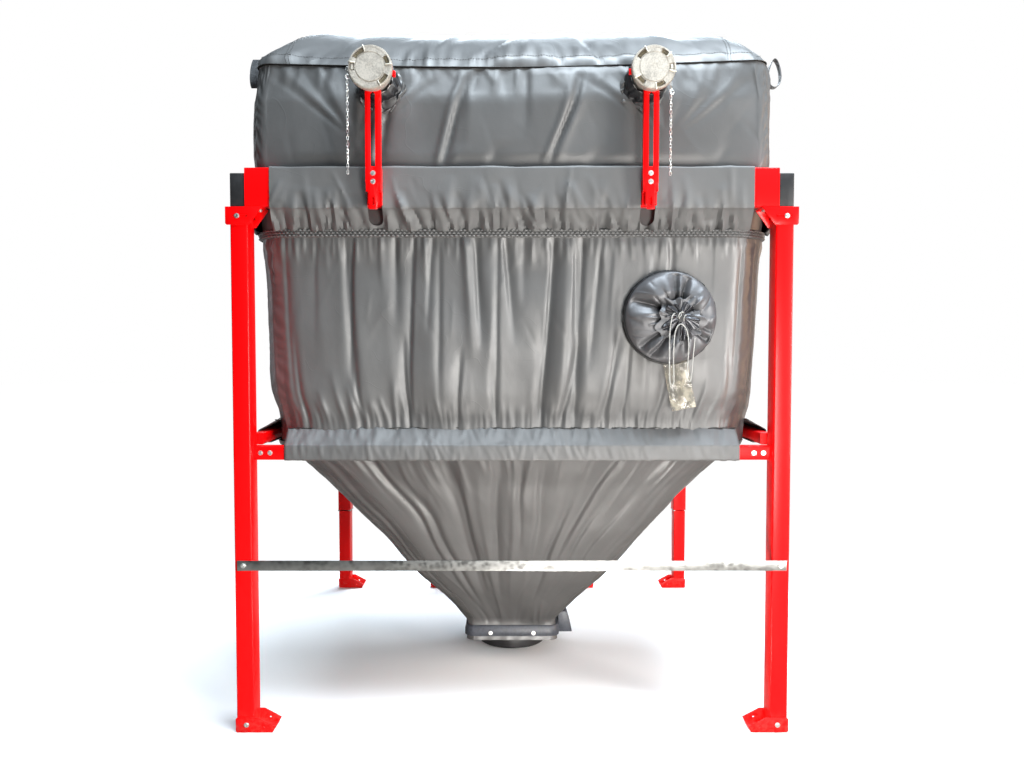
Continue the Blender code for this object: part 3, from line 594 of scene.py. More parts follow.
def sheet_mesh(name, points, uv, closed=False, flip=False):
    """A mesh of rows and columns of points, with a UV map in metres."""
    rows, columns = points.shape[:2]
    index = np.arange(rows * columns).reshape(rows, columns)
    after = np.roll(index, -1, axis=1) if closed else index[:, 1:]
    here = index if closed else index[:, :-1]
    quads = np.stack([here[:-1], here[1:], after[1:], after[:-1]], -1).reshape(-1, 4)
    if flip:
        quads = quads[:, ::-1]
    mesh = bpy.data.meshes.new(name)
    mesh.from_pydata(points.reshape(-1, 3).tolist(), [], quads.tolist())
    layer = mesh.uv_layers.new(name="cloth")
    places = uv.reshape(-1, 2)[quads.reshape(-1)].reshape(-1, 4, 2)
    if closed:
        # The last column's faces end at a full turn, not back at its start
        width = uv[0, :, 0].max() + (uv[0, 1, 0] - uv[0, 0, 0])
        wrapped = (places[:, :, 0].max(1) - places[:, :, 0].min(1)) > width / 2
        low = wrapped[:, None] & (places[:, :, 0] < width / 2)
        places[:, :, 0] += low * width
    layer.data.foreach_set("uv", places.reshape(-1).astype(np.float32))
    mesh.polygons.foreach_set("use_smooth", np.ones(len(quads), bool))
    mesh.update()
    return linked(name, mesh)


def about_centre(points):
    """Silo coordinates from ones about the frame's middle."""
    return points + np.array((0.0, CENTRE_Y, 0.0))


def wrapped(name, points, normals, shape, arc):
    """A closed sheet round the bag, moved out along its normals."""
    places = about_centre(points + normals * shape[..., None])
    return sheet_mesh(name, places, np.stack([arc, points[..., 2]], -1), closed=True)


def seam_heights(points):
    """The top seam's height: it hangs lowest in the middle of each side, and a little lower on the left."""
    corner = np.abs(points[..., 0] * points[..., 1]) / BAG_HALF ** 2
    return SEAM_MIDDLE - 0.004 + SEAM_CORNER_RISE * corner ** 1.5 + 0.007 * points[..., 0] / BAG_HALF


def walk(line):
    """The way walked to each point of a line."""
    return np.concatenate([[0], np.cumsum(np.linalg.norm(np.diff(line, axis=0), axis=1))])


def on_line(along, walked, line):
    """The points that lie this far along a line."""
    return np.stack([np.interp(along, walked, axis) for axis in line.T], 1)


def bent_path(corners, radius, step):
    """Points along a polyline with rounded corners, with normals on its right-hand side."""
    corners = [Vector(corner) for corner in corners]
    line = [corners[0]]
    for before, corner, after in zip(corners, corners[1:], corners[2:]):
        back = (before - corner).normalized()
        ahead = (after - corner).normalized()
        turn = math.acos(max(-1.0, min(1.0, back.dot(ahead))))
        reach = min(radius / math.tan(turn / 2), (before - corner).length / 2.1,
                    (after - corner).length / 2.1)
        start, end = corner + back * reach, corner + ahead * reach
        line += [start.lerp(corner, t).lerp(corner.lerp(end, t), t) for t in (0.0, 0.25, 0.5, 0.75, 1.0)]
    line.append(corners[-1])
    line = np.array(line)
    walked = walk(line)
    count = max(4, round(walked[-1] / step))
    along = np.unique(np.concatenate([np.linspace(0, walked[-1], count), walked]))
    along = along[np.concatenate([[True], np.diff(along) > step * 0.15])]
    places = on_line(along, walked, line)
    tangent = np.gradient(places, axis=0)
    tangent /= np.linalg.norm(tangent, axis=1)[:, None]
    return along, places, np.stack([tangent[:, 1], -tangent[:, 0]], 1)


def turned_to(points, quarter):
    """Turn points about the frame's middle by whole quarters, from the front."""
    c, s = round(math.cos(quarter * QUARTER)), round(math.sin(quarter * QUARTER))
    turned = points.copy()
    turned[..., 0] = c * points[..., 0] - s * points[..., 1]
    turned[..., 1] = s * points[..., 0] + c * points[..., 1]
    return turned


# Finishes


def new_node(tree, kind, **values):
    """A node whose plain inputs are set by name."""
    node = tree.nodes.new(kind)
    for label, value in values.items():
        node.inputs[label.replace("_", " ")].default_value = value
    return node


def new_group(name, inputs, outputs):
    """A shader node group with named inputs and outputs."""
    tree = bpy.data.node_groups.new(name, "ShaderNodeTree")
    for label, value in inputs:
        socket = tree.interface.new_socket(label, in_out="INPUT", socket_type="NodeSocketFloat")
        socket.default_value = value
    tree.interface.new_socket("Place", in_out="INPUT", socket_type="NodeSocketVector")
    for label in outputs:
        tree.interface.new_socket(label, in_out="OUTPUT", socket_type="NodeSocketFloat")
    return tree, tree.nodes.new("NodeGroupInput"), tree.nodes.new("NodeGroupOutput")


def noise(tree, place, scale, detail=3.0, roughness=0.5, stretch=None):
    """A noise texture, stretched along an axis where that is given."""
    if stretch:
        mapping = new_node(tree, "ShaderNodeMapping", Scale=stretch)
        tree.links.new(place, mapping.inputs["Vector"])
        place = mapping.outputs["Vector"]
    texture = new_node(tree, "ShaderNodeTexNoise", Scale=scale, Detail=detail, Roughness=roughness)
    tree.links.new(place, texture.inputs["Vector"])
    return texture.outputs["Fac"]


def math_node(tree, operation, a, b=None):
    """A Math node on sockets or numbers."""
    node = tree.nodes.new("ShaderNodeMath")
    node.operation = operation
    for socket, value in zip(node.inputs, (a, b)):
        if value is None:
            continue
        if isinstance(value, (int, float)):
            socket.default_value = value
        else:
            tree.links.new(value, socket)
    return node.outputs[0]


def times(tree, a, b):
    """The product of two sockets, or of a socket and a number."""
    return math_node(tree, "MULTIPLY", a, b)


def spread(tree, value, low, high, to_low=0.0, to_high=1.0):
    """Map a value's range smoothly to another."""
    node = new_node(tree, "ShaderNodeMapRange", From_Min=low, From_Max=high, To_Min=to_low, To_Max=to_high)
    node.interpolation_type = "SMOOTHSTEP"
    tree.links.new(value, node.inputs["Value"])
    return node.outputs["Result"]


def mixed(tree, factor, first, second):
    """A mix by a factor of two colours, each a socket or a plain colour."""
    mix = tree.nodes.new("ShaderNodeMix")
    mix.data_type = "RGBA"
    tree.links.new(factor, mix.inputs["Factor"])
    for label, colour in (("A", first), ("B", second)):
        if isinstance(colour, tuple):
            mix.inputs[label].default_value = (*colour, 1.0)
        else:
            tree.links.new(colour, mix.inputs[label])
    return mix.outputs["Result"]


def coordinates(tree, kind="Object"):
    """The place on the piece that a pattern follows."""
    return tree.nodes.new("ShaderNodeTexCoord").outputs[kind]


def parts_of(tree, place):
    """The three parts of a place, by their letters."""
    split = tree.nodes.new("ShaderNodeSeparateXYZ")
    tree.links.new(place, split.inputs[0])
    return split.outputs


def weave_group():
    """Crossed threads, crumple, thin creases and cloudy tone of a coated cloth."""
    tree, given, made = new_group("Coated weave", (("Threads", 900.0), ("Crumple", 1.0)),
                                  ("Tone", "Height", "Gloss"))
    place = given.outputs["Place"]
    parts = parts_of(tree, place)
    waves = []
    for axis in ("X", "Y"):
        wave = math_node(tree, "SINE", times(tree, parts[axis], given.outputs["Threads"]))
        waves.append(math_node(tree, "ABSOLUTE", wave))
    threads = times(tree, math_node(tree, "MAXIMUM", *waves), 0.03)
    crumple = noise(tree, place, 24.0, 3.0, 0.5, stretch=(1.0, 0.55, 1.0))
    broad = noise(tree, place, 6.0, 2.0, 0.5, stretch=(1.0, 0.5, 1.0))
    relief = math_node(tree, "ADD", times(tree, crumple, 0.9), times(tree, broad, 2.2))
    # Thin creases lie where a broad noise passes its middle value
    level = math_node(tree, "ABSOLUTE", math_node(tree, "SUBTRACT", noise(tree, place, 7.0, 1.0), 0.5))
    crease = times(tree, spread(tree, level, 0.0, 0.010, 0.20, 0.0), spread(tree, broad, 0.45, 0.6))
    relief = math_node(tree, "ADD", relief, crease)
    relief = times(tree, relief, given.outputs["Crumple"])
    tree.links.new(math_node(tree, "ADD", relief, threads), made.inputs["Height"])
    cloud = noise(tree, place, 2.6, 4.0, 0.6)
    tree.links.new(spread(tree, cloud, 0.30, 0.72), made.inputs["Tone"])
    tree.links.new(spread(tree, noise(tree, place, 9.0, 3.0), 0.3, 0.7), made.inputs["Gloss"])
    return tree


def paint_group():
    """Orange peel, handling marks and dust near the ground on powder coat."""
    tree, given, made = new_group("Powder coat", (("Marks", 1.0),), ("Marks", "Height", "Dust"))
    place = given.outputs["Place"]
    peel = noise(tree, place, 420.0, 2.0)
    tree.links.new(times(tree, peel, 0.10), made.inputs["Height"])
    smears = spread(tree, noise(tree, place, 11.0, 6.0, 0.7, stretch=(1.0, 1.0, 0.25)), 0.52, 0.74)
    specks = spread(tree, noise(tree, place, 160.0, 2.0, 0.7), 0.70, 0.78)
    both = math_node(tree, "MAXIMUM", times(tree, smears, 0.7), specks)
    tree.links.new(times(tree, both, given.outputs["Marks"]), made.inputs["Marks"])
    low = spread(tree, parts_of(tree, place)["Z"], 0.0, 0.09, 1.0, 0.0)
    grit = spread(tree, noise(tree, place, 60.0, 5.0, 0.7), 0.35, 0.7)
    tree.links.new(times(tree, low, grit), made.inputs["Dust"])
    return tree


def metal_group():
    """The uneven grain of cast or galvanised metal."""
    tree, given, made = new_group("Metal grain", (("Grain", 120.0), ("Pits", 1.0)), ("Tone", "Height"))
    place = given.outputs["Place"]
    cells = tree.nodes.new("ShaderNodeTexVoronoi")
    tree.links.new(given.outputs["Grain"], cells.inputs["Scale"])
    tree.links.new(place, cells.inputs["Vector"])
    fine = noise(tree, place, 700.0, 4.0, 0.7)
    cloud = noise(tree, place, 26.0, 4.0, 0.6)
    tone = math_node(tree, "ADD", times(tree, cells.outputs["Distance"], 0.5), times(tree, cloud, 0.8))
    tree.links.new(spread(tree, tone, 0.35, 0.85), made.inputs["Tone"])
    tree.links.new(times(tree, fine, given.outputs["Pits"]), made.inputs["Height"])
    return tree


def group_node(tree, kind, place, **values):
    """Place one of the shared groups, which is built once."""
    if kind not in GROUPS:
        GROUPS[kind] = {"weave": weave_group, "paint": paint_group, "metal": metal_group}[kind]()
    node = tree.nodes.new("ShaderNodeGroup")
    node.node_tree = GROUPS[kind]
    for label, value in values.items():
        node.inputs[label].default_value = value
    tree.links.new(place, node.inputs["Place"])
    return node


def start_material(name, **sockets):
    """A material whose plain values are set on the shader's own sockets."""
    material = bpy.data.materials.new(name)
    material.use_nodes = True
    shader = material.node_tree.nodes["Principled BSDF"]
    for label, value in sockets.items():
        shader.inputs[label.replace("_", " ")].default_value = value
    return material, material.node_tree, shader


def coloured(tree, shader, mask, colour, low, high):
    """Base colour by a mask, between a darker and a lighter shade."""
    mix = mixed(tree, mask, shade(colour, low), shade(colour, high))
    tree.links.new(mix, shader.inputs["Base Color"])


def varied(tree, shader, label, mask, low, high):
    """A value of the shader that a mask moves between two numbers."""
    tree.links.new(spread(tree, mask, 0.0, 1.0, low, high), shader.inputs[label])


def bumped(tree, shader, height, distance):
    """Relief that is too fine for the mesh."""
    bump = new_node(tree, "ShaderNodeBump", Distance=distance)
    tree.links.new(height, bump.inputs["Height"])
    tree.links.new(bump.outputs["Normal"], shader.inputs["Normal"])


def shade(colour, factor):
    """A colour made darker or lighter."""
    return tuple(min(1.0, part * factor) for part in colour)


def cloth_material(name, colour, gloss, crumple=1.0, by_uv=True, metallic=0.0):
    """Coated polyester: satin gloss, fine weave, small crumples and cloudy tone."""
    contrast = 0.07
    material, tree, shader = start_material(name, IOR=1.5, Metallic=metallic)
    weave = group_node(tree, "weave", coordinates(tree, "UV" if by_uv else "Object"), Crumple=crumple).outputs
    coloured(tree, shader, weave["Tone"], colour, 1 - contrast, 1 + contrast)
    varied(tree, shader, "Roughness", weave["Gloss"], gloss - 0.03, gloss + 0.04)
    bumped(tree, shader, weave["Height"], 0.0010)
    return material


def paint_material(name, colour, roughness):
    """Powder-coated steel."""
    material, tree, shader = start_material(name, Specular_IOR_Level=0.22, Coat_Weight=0.06,
                                            Coat_Roughness=0.15)
    paint = group_node(tree, "paint", coordinates(tree)).outputs
    marked = mixed(tree, paint["Marks"], colour, shade(colour, 0.80))
    dusty = mixed(tree, times(tree, paint["Dust"], 0.16), marked, (0.30, 0.24, 0.20))
    tree.links.new(dusty, shader.inputs["Base Color"])
    varied(tree, shader, "Roughness", paint["Marks"], roughness, roughness + 0.14)
    bumped(tree, shader, paint["Height"], 0.0004)
    return material


def metal_material(name, colour, roughness, grain, metallic=1.0, pits=0.6, contrast=0.2):
    """Bare, cast or galvanised metal."""
    material, tree, shader = start_material(name, Metallic=metallic)
    metal = group_node(tree, "metal", coordinates(tree), Grain=grain, Pits=pits).outputs
    coloured(tree, shader, metal["Tone"], colour, 1 - contrast, 1 + contrast)
    varied(tree, shader, "Roughness", metal["Tone"], roughness - 0.06, roughness + 0.08)
    bumped(tree, shader, metal["Height"], 0.0003)
    return material


def plastic_material(name, colour, roughness):
    """Moulded plastic with a fine texture."""
    material, tree, shader = start_material(name, IOR=1.48)
    place = coordinates(tree)
    cloud = spread(tree, noise(tree, place, 18.0, 4.0, 0.6), 0.3, 0.7)
    coloured(tree, shader, cloud, colour, 0.8, 1.3)
    varied(tree, shader, "Roughness", cloud, roughness - 0.05, roughness + 0.07)
    bumped(tree, shader, noise(tree, place, 900.0, 2.0), 0.0002)
    return material


def thread_material(name, colour, twist):
    """Twisted or woven thread, whose strands show as slanted ribs."""
    material, tree, shader = start_material(name, Sheen_Weight=0.3)
    ribs = new_node(tree, "ShaderNodeTexWave", Scale=twist, Distortion=1.5)
    ribs.bands_direction = "DIAGONAL"
    tree.links.new(coordinates(tree), ribs.inputs["Vector"])
    coloured(tree, shader, ribs.outputs["Fac"], colour, 0.6, 1.15)
    varied(tree, shader, "Roughness", ribs.outputs["Fac"], 0.75, 0.55)
    bumped(tree, shader, ribs.outputs["Fac"], 0.0006)
    return material


def film_material(name, colour):
    """Clear film that has gone cloudy and creased."""
    material, tree, shader = start_material(name, IOR=1.45, Roughness=0.08, Coat_Weight=0.6,
                                            Coat_Roughness=0.05)
    place = coordinates(tree)
    cloud = spread(tree, noise(tree, place, 26.0, 3.0, 0.6), 0.35, 0.68)
    coloured(tree, shader, cloud, colour, 0.35, 1.0)
    varied(tree, shader, "Alpha", cloud, 0.28, 0.62)
    bumped(tree, shader, noise(tree, place, 60.0, 4.0, 0.6), 0.003)
    return material


def make_materials(colours):
    """Every finish of the silo, under its own name."""
    red, cloth, black = tuple(colours.paint), tuple(colours.cloth), tuple(colours.black_cloth)
    steel, cast, cord = tuple(colours.steel), tuple(colours.cast), tuple(colours.cord)
    rough, sheen = colours.cloth_roughness, colours.cloth_sheen
    MATERIALS.update({
        "paint": paint_material("red powder coat", red, colours.paint_roughness),
        "cloth": cloth_material("grey coated polyester", cloth, rough, metallic=sheen),
        "hopper_cloth": cloth_material("grey hopper polyester", cloth, rough - 0.04, metallic=sheen + 0.04),
        # The upper wall's cloth is the bag's cloth made darker: a painted shade on the upper wall
        "upper_cloth_painted_shade": cloth_material("grey upper polyester with painted shade", shade(cloth, 0.84), rough, metallic=sheen),
        "top_cloth": cloth_material("grey coated polyester top", cloth, rough, 1.3, metallic=sheen),
        # The sleeves' cloth is the bag's cloth, rougher and less glossy, and made darker: a painted shade on
        # the sleeves
        "sleeve_cloth_painted_shade": cloth_material("grey sleeve polyester with painted shade", shade(cloth, 0.92), rough + 0.08, 0.8,
                                       metallic=sheen * 0.7),
        "black_cloth": cloth_material("black coated cloth", black, 0.42, 1.0, by_uv=False),
        "piping": cloth_material("dark piping", (0.016, 0.014, 0.012), 0.5, 0.6, by_uv=False),
        "thread": thread_material("sewing thread", (0.05, 0.046, 0.042), 300.0),
        "webbing": thread_material("loop webbing", (0.045, 0.046, 0.050), 160.0),
        "cord": thread_material("braided cord", cord, 260.0),
        "zinc": metal_material("zinc plated steel", shade(steel, 1.3), 0.36, 240.0),
        "galvanised": metal_material("galvanised steel", shade(steel, 0.62), 0.34, 60.0, contrast=0.12),
        "cast": metal_material("cast alloy", cast, 0.42, 180.0, metallic=0.6, pits=1.4, contrast=0.16),
        "bright_cast": metal_material("worn cast alloy", shade(cast, 1.55), 0.34, 180.0, metallic=0.6),
        "brass": metal_material("brassy coupling alloy", (0.24, 0.20, 0.13), 0.42, 200.0, metallic=0.7),
        "port_cloth": cloth_material("satin port cloth", (0.115, 0.115, 0.120), 0.47, 1.0, by_uv=False,
                                     metallic=0.45),
        "frill_cloth": cloth_material("black glossy frill", (0.045, 0.045, 0.05), 0.26, 1.0, by_uv=False,
                                      metallic=0.5),
        "dark_steel": metal_material("dark coated steel", (0.045, 0.050, 0.062), 0.42, 90.0, metallic=0.0),
        "plastic": plastic_material("black moulded plastic", (0.018, 0.018, 0.019), 0.42),
        "film": film_material("clear film", (0.46, 0.42, 0.33)),
    })


# The camera, lights and floor


def make_camera():
    """The photograph's viewing angle, at its height and distance."""
    camera = bpy.data.cameras.new("camera")
    camera.sensor_width = 36.0
    camera.lens = 31.11
    obj = linked("camera", camera)
    obj.location = (0.0, CENTRE_Y - FRAME_HALF - EYE_DISTANCE, EYE_HEIGHT)
    obj.rotation_euler = (QUARTER - EYE_PITCH, 0.0, 0.0)
    bpy.context.scene.camera = obj


def area_light(name, place, aim, size, power, colour):
    """A rectangular softbox that looks at a point."""
    light = bpy.data.lights.new(name, "AREA")
    light.shape = "RECTANGLE"
    light.size, light.size_y = size
    light.energy = power
    light.color = colour
    obj = linked(name, light)
    obj.location = place
    obj.rotation_euler = (Vector(aim) - Vector(place)).to_track_quat("-Z", "Y").to_euler()
    obj.visible_camera = False


def make_floor():
    """A floor that is pale to the eye, plain white a few steps away, and throws back a warm light."""
    deselect()
    bpy.ops.mesh.primitive_circle_add(vertices=96, radius=30.0, fill_type="NGON", location=(0, 0, -0.0005))
    floor = named("floor")
    material, tree, shader = start_material("floor", Roughness=0.9, Specular_IOR_Level=0.1,
                                            Emission_Strength=1.0)
    seen = tree.nodes.new("ShaderNodeLightPath").outputs["Is Camera Ray"]
    distance = tree.nodes.new("ShaderNodeVectorMath")
    distance.operation = "LENGTH"
    tree.links.new(coordinates(tree), distance.inputs[0])
    far = times(tree, spread(tree, distance.outputs["Value"], 1.2, 2.6), seen)
    near = mixed(tree, seen, (0.26, 0.235, 0.21), (0.96, 0.96, 0.96))
    tree.links.new(mixed(tree, far, near, BLACK), shader.inputs["Base Color"])
    tree.links.new(mixed(tree, far, BLACK, WHITE), shader.inputs["Emission Color"])
    floor.data.materials.append(material)


def make_world():
    """A sky from warm below to cool above, darker on the left, that the camera sees as plain white."""
    world = bpy.data.worlds.new("studio")
    world.use_nodes = True
    tree = world.node_tree
    parts = parts_of(tree, coordinates(tree, "Generated"))
    ramp = tree.nodes.new("ShaderNodeValToRGB")
    stops = ramp.color_ramp.elements
    stops[0].position, stops[0].color = 0.40, (0.10, 0.085, 0.07, 1.0)
    stops[1].position, stops[1].color = 0.56, (0.22, 0.23, 0.24, 1.0)
    stops.new(0.85).color = (0.55, 0.68, 0.80, 1.0)
    tree.links.new(spread(tree, parts["Z"], -1.0, 1.0), ramp.inputs["Fac"])
    dimmed = tree.nodes.new("ShaderNodeVectorMath")
    dimmed.operation = "SCALE"
    tree.links.new(ramp.outputs["Color"], dimmed.inputs[0])
    tree.links.new(spread(tree, parts["X"], -0.3, 0.25, 0.04, 1.15), dimmed.inputs["Scale"])
    seen = tree.nodes.new("ShaderNodeLightPath").outputs["Is Camera Ray"]
    background = tree.nodes["Background"]
    tree.links.new(mixed(tree, seen, dimmed.outputs["Vector"], WHITE), background.inputs["Color"])
    background.inputs["Strength"].default_value = 1.0
    bpy.context.scene.world = world


def make_lights():
    """Soft boxes round the silo, from a warm right to a cool top and back."""
    middle = (0.0, CENTRE_Y, 1.3)
    warm, cool = (1.0, 0.97, 0.93), (0.80, 0.91, 1.0)
    area_light("key_box", (3.8, -3.4, 1.2), middle, (0.9, 1.4), 195, (1.0, 0.98, 0.95))
    area_light("top_box", (0.9, -1.8, 5.2), middle, (3.4, 1.2), 400, cool)
    area_light("front_box", (0.8, -3.0, 0.85), (0.25, -0.85, 1.0), (0.6, 0.9), 50, warm)
    area_light("floor_box", (0.25, -1.2, 0.02), (0.05, -0.4, 0.6), (0.4, 0.4), 23, warm)
    area_light("right_box", (4.6, -0.2, 1.6), middle, (0.8, 3.0), 70, (1.0, 0.62, 0.38))
    area_light("left_box", (-4.6, 1.4, 2.0), middle, (0.8, 3.0), 30, (0.90, 0.95, 1.0))
    area_light("back_box", (0.2, 4.2, 5.4), middle, (4.4, 2.4), 760, cool)


# Steel frame


def make_posts(sizes):
    """The posts. The rear ones stand in a bracket jacket with a bare edge."""
    for name, _, y in CORNERS:
        low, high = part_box(f"post_{name}")
        if y > 0:
            foot, top = JACKET_HEIGHTS
            jacket = block(f"jacket_{name}", (low.x, low.y + 0.001, foot), (high.x, high.y, top),
                           sizes.tube_radius, along=2)
            finish_piece(jacket, "paint")
            foot, top = JACKET_EDGE_HEIGHTS
            strip = block(f"jacket_edge_{name}", (low.x - 0.001, low.y, foot), (high.x + 0.001, high.y, top),
                          0.001, 2)
            finish_piece(strip, "galvanised")
            low, high = low + Vector((POST_WALL, 0, 0)), high - Vector((POST_WALL, POST_WALL, 0))
        post = block(f"painted_post_{name}", low, high, sizes.tube_radius, along=2)
        finish_piece(post, "paint", [f"post_{name}"])


def make_shoes(sizes):
    """The bent shoes, slotted for their bolts."""
    for name, x, _ in CORNERS:
        low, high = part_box(f"foot_{name}")
        shoe = remade(f"foot_{name}", f"bent_shoe_{name}", BENT_EDGE)
        for inward, height, length in SHOE_SLOTS:
            place = (x * (FRAME_HALF - inward), (low.y + high.y) / 2, height)
            cut_out(shoe, slot_tool(*place, length, SHOE_SLOT_WIDTH, THROUGH))
        finish_piece(shoe, "paint", [f"foot_{name}"])


def make_brackets(sizes):
    """The bent corner brackets, each with a long slot."""
    across, length, width = BRACKET_SLOT
    for name, x, _ in CORNERS:
        low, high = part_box(f"corner_bracket_{name}")
        bracket = remade(f"corner_bracket_{name}", f"bent_bracket_{name}", BENT_EDGE)
        cut_out(bracket, slot_tool(x * across, (low.y + high.y) / 2, BRACKET_BOLT[1], length, width, THROUGH))
        finish_piece(bracket, "paint", [f"corner_bracket_{name}"])


def make_rails(sizes):
    """The upper and lower rails, and the inserts in the open ends of the upper side rails."""
    for name, along in (("front", 0), ("rear", 0), ("left", 1), ("right", 1)):
        for level in ("upper", "lower"):
            node = f"{level}_rail_{name}"
            rail = block(f"painted_{node}", *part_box(node), sizes.tube_radius, along=along)
            finish_piece(rail, "paint", [node])
    for name, x, y in CORNERS:
        low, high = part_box("upper_rail_left" if x < 0 else "upper_rail_right")
        start = CENTRE_Y + y * SIDE_RAIL_END
        near, far = sorted(start + y * reach for reach in INSERT_REACH)
        insert = block(f"rail_end_{name}", (low.x, near, low.z), (high.x, far, high.z), 0.003)
        finish_piece(insert, "plastic")


def make_props(sizes):
    """The short props under the rear lower rail."""
    for side, _ in HANDS:
        remade_as(f"rear_prop_{side}", f"painted_prop_{side}", 0.0025, "paint")


def make_tie_bar(sizes):
    """The flat bar across the front posts."""
    bar = block("galvanised_tie_bar", *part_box("tie_bar_front"), BENT_EDGE, 2)
    finish_piece(bar, "galvanised", ["tie_bar_front"])


def bolt_master(head, washer):
    """A button head on a washer, with a socket sunk in its top."""
    obj = disc("bolt_master", washer, 0.0016, 18)
    stepped(obj, ((washer - head, 0.0012), (0.0, 0.0014), (head * 0.16, 0.0009), (head * 0.2, 0.0005),
                  (head * 0.16, 0.0), (0.0, -0.0018)))
    return smooth(obj, 30)


def bolt_pair(front, rear, across, up):
    """The places of a bolt on the first node's front and of one on the second node's back."""
    return [facing_front(across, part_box(front)[0].y, up), facing_back(across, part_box(rear)[1].y, up)]


def make_bolts(sizes):
    """The bolts that show, modelled once and repeated."""
    rail_middle = (LOWER_LOW.z + LOWER_HIGH.z) / 2
    places = []
    for side in (-1, 1):
        across, height = BRACKET_BOLT
        places += bolt_pair("corner_bracket_front_left", "corner_bracket_rear_left", side * across, height)
        across, height = SHOE_BOLT
        places += bolt_pair("foot_front_left", "foot_rear_left", side * across, height)
        across, height = TIE_BOLT
        places.append(facing_front(side * across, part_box("tie_bar_front")[0].y, height))
        for across in RAIL_BOLTS_ACROSS:
            places.append(facing_front(side * across, LOWER_LOW.y, rail_middle))
            places.append(facing_back(side * across, CENTRE_Y + LOWER_FACE, rail_middle))
        places += [facing_front(side * PIPE_X, ARM_FACE, height) for height in ARM_BOLT_HEIGHTS]
        across, height = CLAMP_BOLT
        places += bolt_pair("outlet_clamp", "outlet_clamp", side * across, height)
    across, height = UNDER_BOLT
    for _, x, y in CORNERS:
        for depth in UNDER_BOLT_DEPTHS:
            spot = (x * across, CENTRE_Y + y * (FRAME_HALF - depth), height)
            places.append(Matrix.Translation(spot) @ Matrix.Rotation(math.pi, 4, "X"))
    bolts = strewn("zinc_bolts", bolt_master(sizes.bolt_head, sizes.bolt_washer), places)
    finish_piece(bolts, "zinc")


# Bag, hopper and sleeves


def columns_for(step):
    """How many columns a side and a corner of the bag take."""
    return (round(2 * STRAIGHT / step), round(BAG_RADIUS * QUARTER / step))


def corner_seam(arc, height):
    """The sewn ridge down each corner of the bag, with small puckers along it."""
    depth = 0.003
    total = np.zeros(arc.shape)
    for quarter in range(4):
        place = quarter * SIDE_LENGTH + 2 * STRAIGHT + BAG_RADIUS * QUARTER * 0.5
        off = arc - place
        ridge = np.exp(-(off / 0.007) ** 2)
        wave = np.sin(height * 140 + np.abs(off) * 55 + 2 * np.sin(height * 31 + quarter))
        pucker = np.exp(-(np.abs(off) / 0.05) ** 1.5) * wave
        total += depth * ridge + depth * pucker * (1 - ridge)
    return total


def make_lower_wall(sizes):
    """The bag below the hem: fine gathers under it, long pleats down to the lower rails."""
    rng = np.random.default_rng(11)
    columns = columns_for(0.0058)
    heights = np.linspace(HEM_LOW + 0.012, WAIST_LOW + 0.002, 60)
    points, normals = shell(WALL_RINGS, columns, heights)
    arc, near = arc_round(columns, points.shape[:2])
    height = points[..., 2]
    deep = sizes.fold_depth
    top, foot = HEM_LOW, WAIST_HIGH - 0.010
    middle = (top + foot) / 2
    around = ROUND_LENGTH
    broad = fold_rows(
        rng, around, deep,
        (38, (top - 0.10, middle), (0.35, 0.70), (0.0065, 0.012), (-1.5, -0.7), (-0.03, 0.09), 0.7),
        (44, (top, top), (0.16, 0.42), (0.0065, 0.011), (-1.3, -0.5), (-0.05, 0.07), 0.7),
        (44, (foot, foot), (0.16, 0.42), (0.007, 0.012), (-1.5, -0.6), (-0.07, 0.09), 0.7),
        (40, (middle - 0.15, middle + 0.15), (0.3, 0.6), (0.018, 0.034), (0.2, 0.9), (-0.03, 0.09), 0.8),
        (24, (middle - 0.1, middle + 0.1), (0.5, 0.8), (0.05, 0.10), (-0.9, 1.0), (-0.03, 0.09), 0.4),
    )
    front = np.array([(STRAIGHT + x, *rest) for x, *rest in FRONT_PLEATS]) * (1, 1, 1, 1, deep, 1, 1)
    fine = fold_rows(
        rng, around, deep,
        (340, (top - 0.004, top - 0.004), (0.03, 0.09), (0.0045, 0.0065), (0.4, 0.8), (-0.10, 0.10), 0.4),
        (150, (top, top), (0.07, 0.20), (0.007, 0.011), (-0.3, 0.9), (-0.12, 0.12), 0.5),
        (330, (foot, foot), (0.03, 0.10), (0.0045, 0.0070), (0.4, 0.9), (-0.12, 0.12), 0.4),
        (150, (foot, foot), (0.08, 0.22), (0.007, 0.012), (-0.3, 1.0), (-0.15, 0.15), 0.5),
    )
    creases = scattered(rng, 70, around, (foot + 0.1, top - 0.1), (0.04, 0.13), (0.005, 0.008),
                        (-0.0018, 0.0022), (-0.9, 0.9))
    calm = 1 - 0.45 * ramp(near - 0.80, 0.20)
    wavy = arc + 0.006 * drift(rng, points, 0.45)
    shape = fold_field(wavy, height, np.concatenate([broad, front]), around) * calm
    shape += fold_field(wavy, height, np.concatenate([fine, creases]), around)
    shape += 0.004 * drift(rng, points, 0.30) + corner_seam(arc, height)
    # Held under the hem, and tucked into the lower sleeves
    held = ramp(top + 0.004 - height, 0.03)
    swell = ramp(foot + 0.05 - height, 0.06)
    shape = shape * (0.35 + 0.65 * held) * (1 - 0.5 * swell) - 0.002
    wall = wrapped("bag_lower_wall", points, normals, shape, arc)
    finish_piece(wall, "cloth", ["bag_wall"])


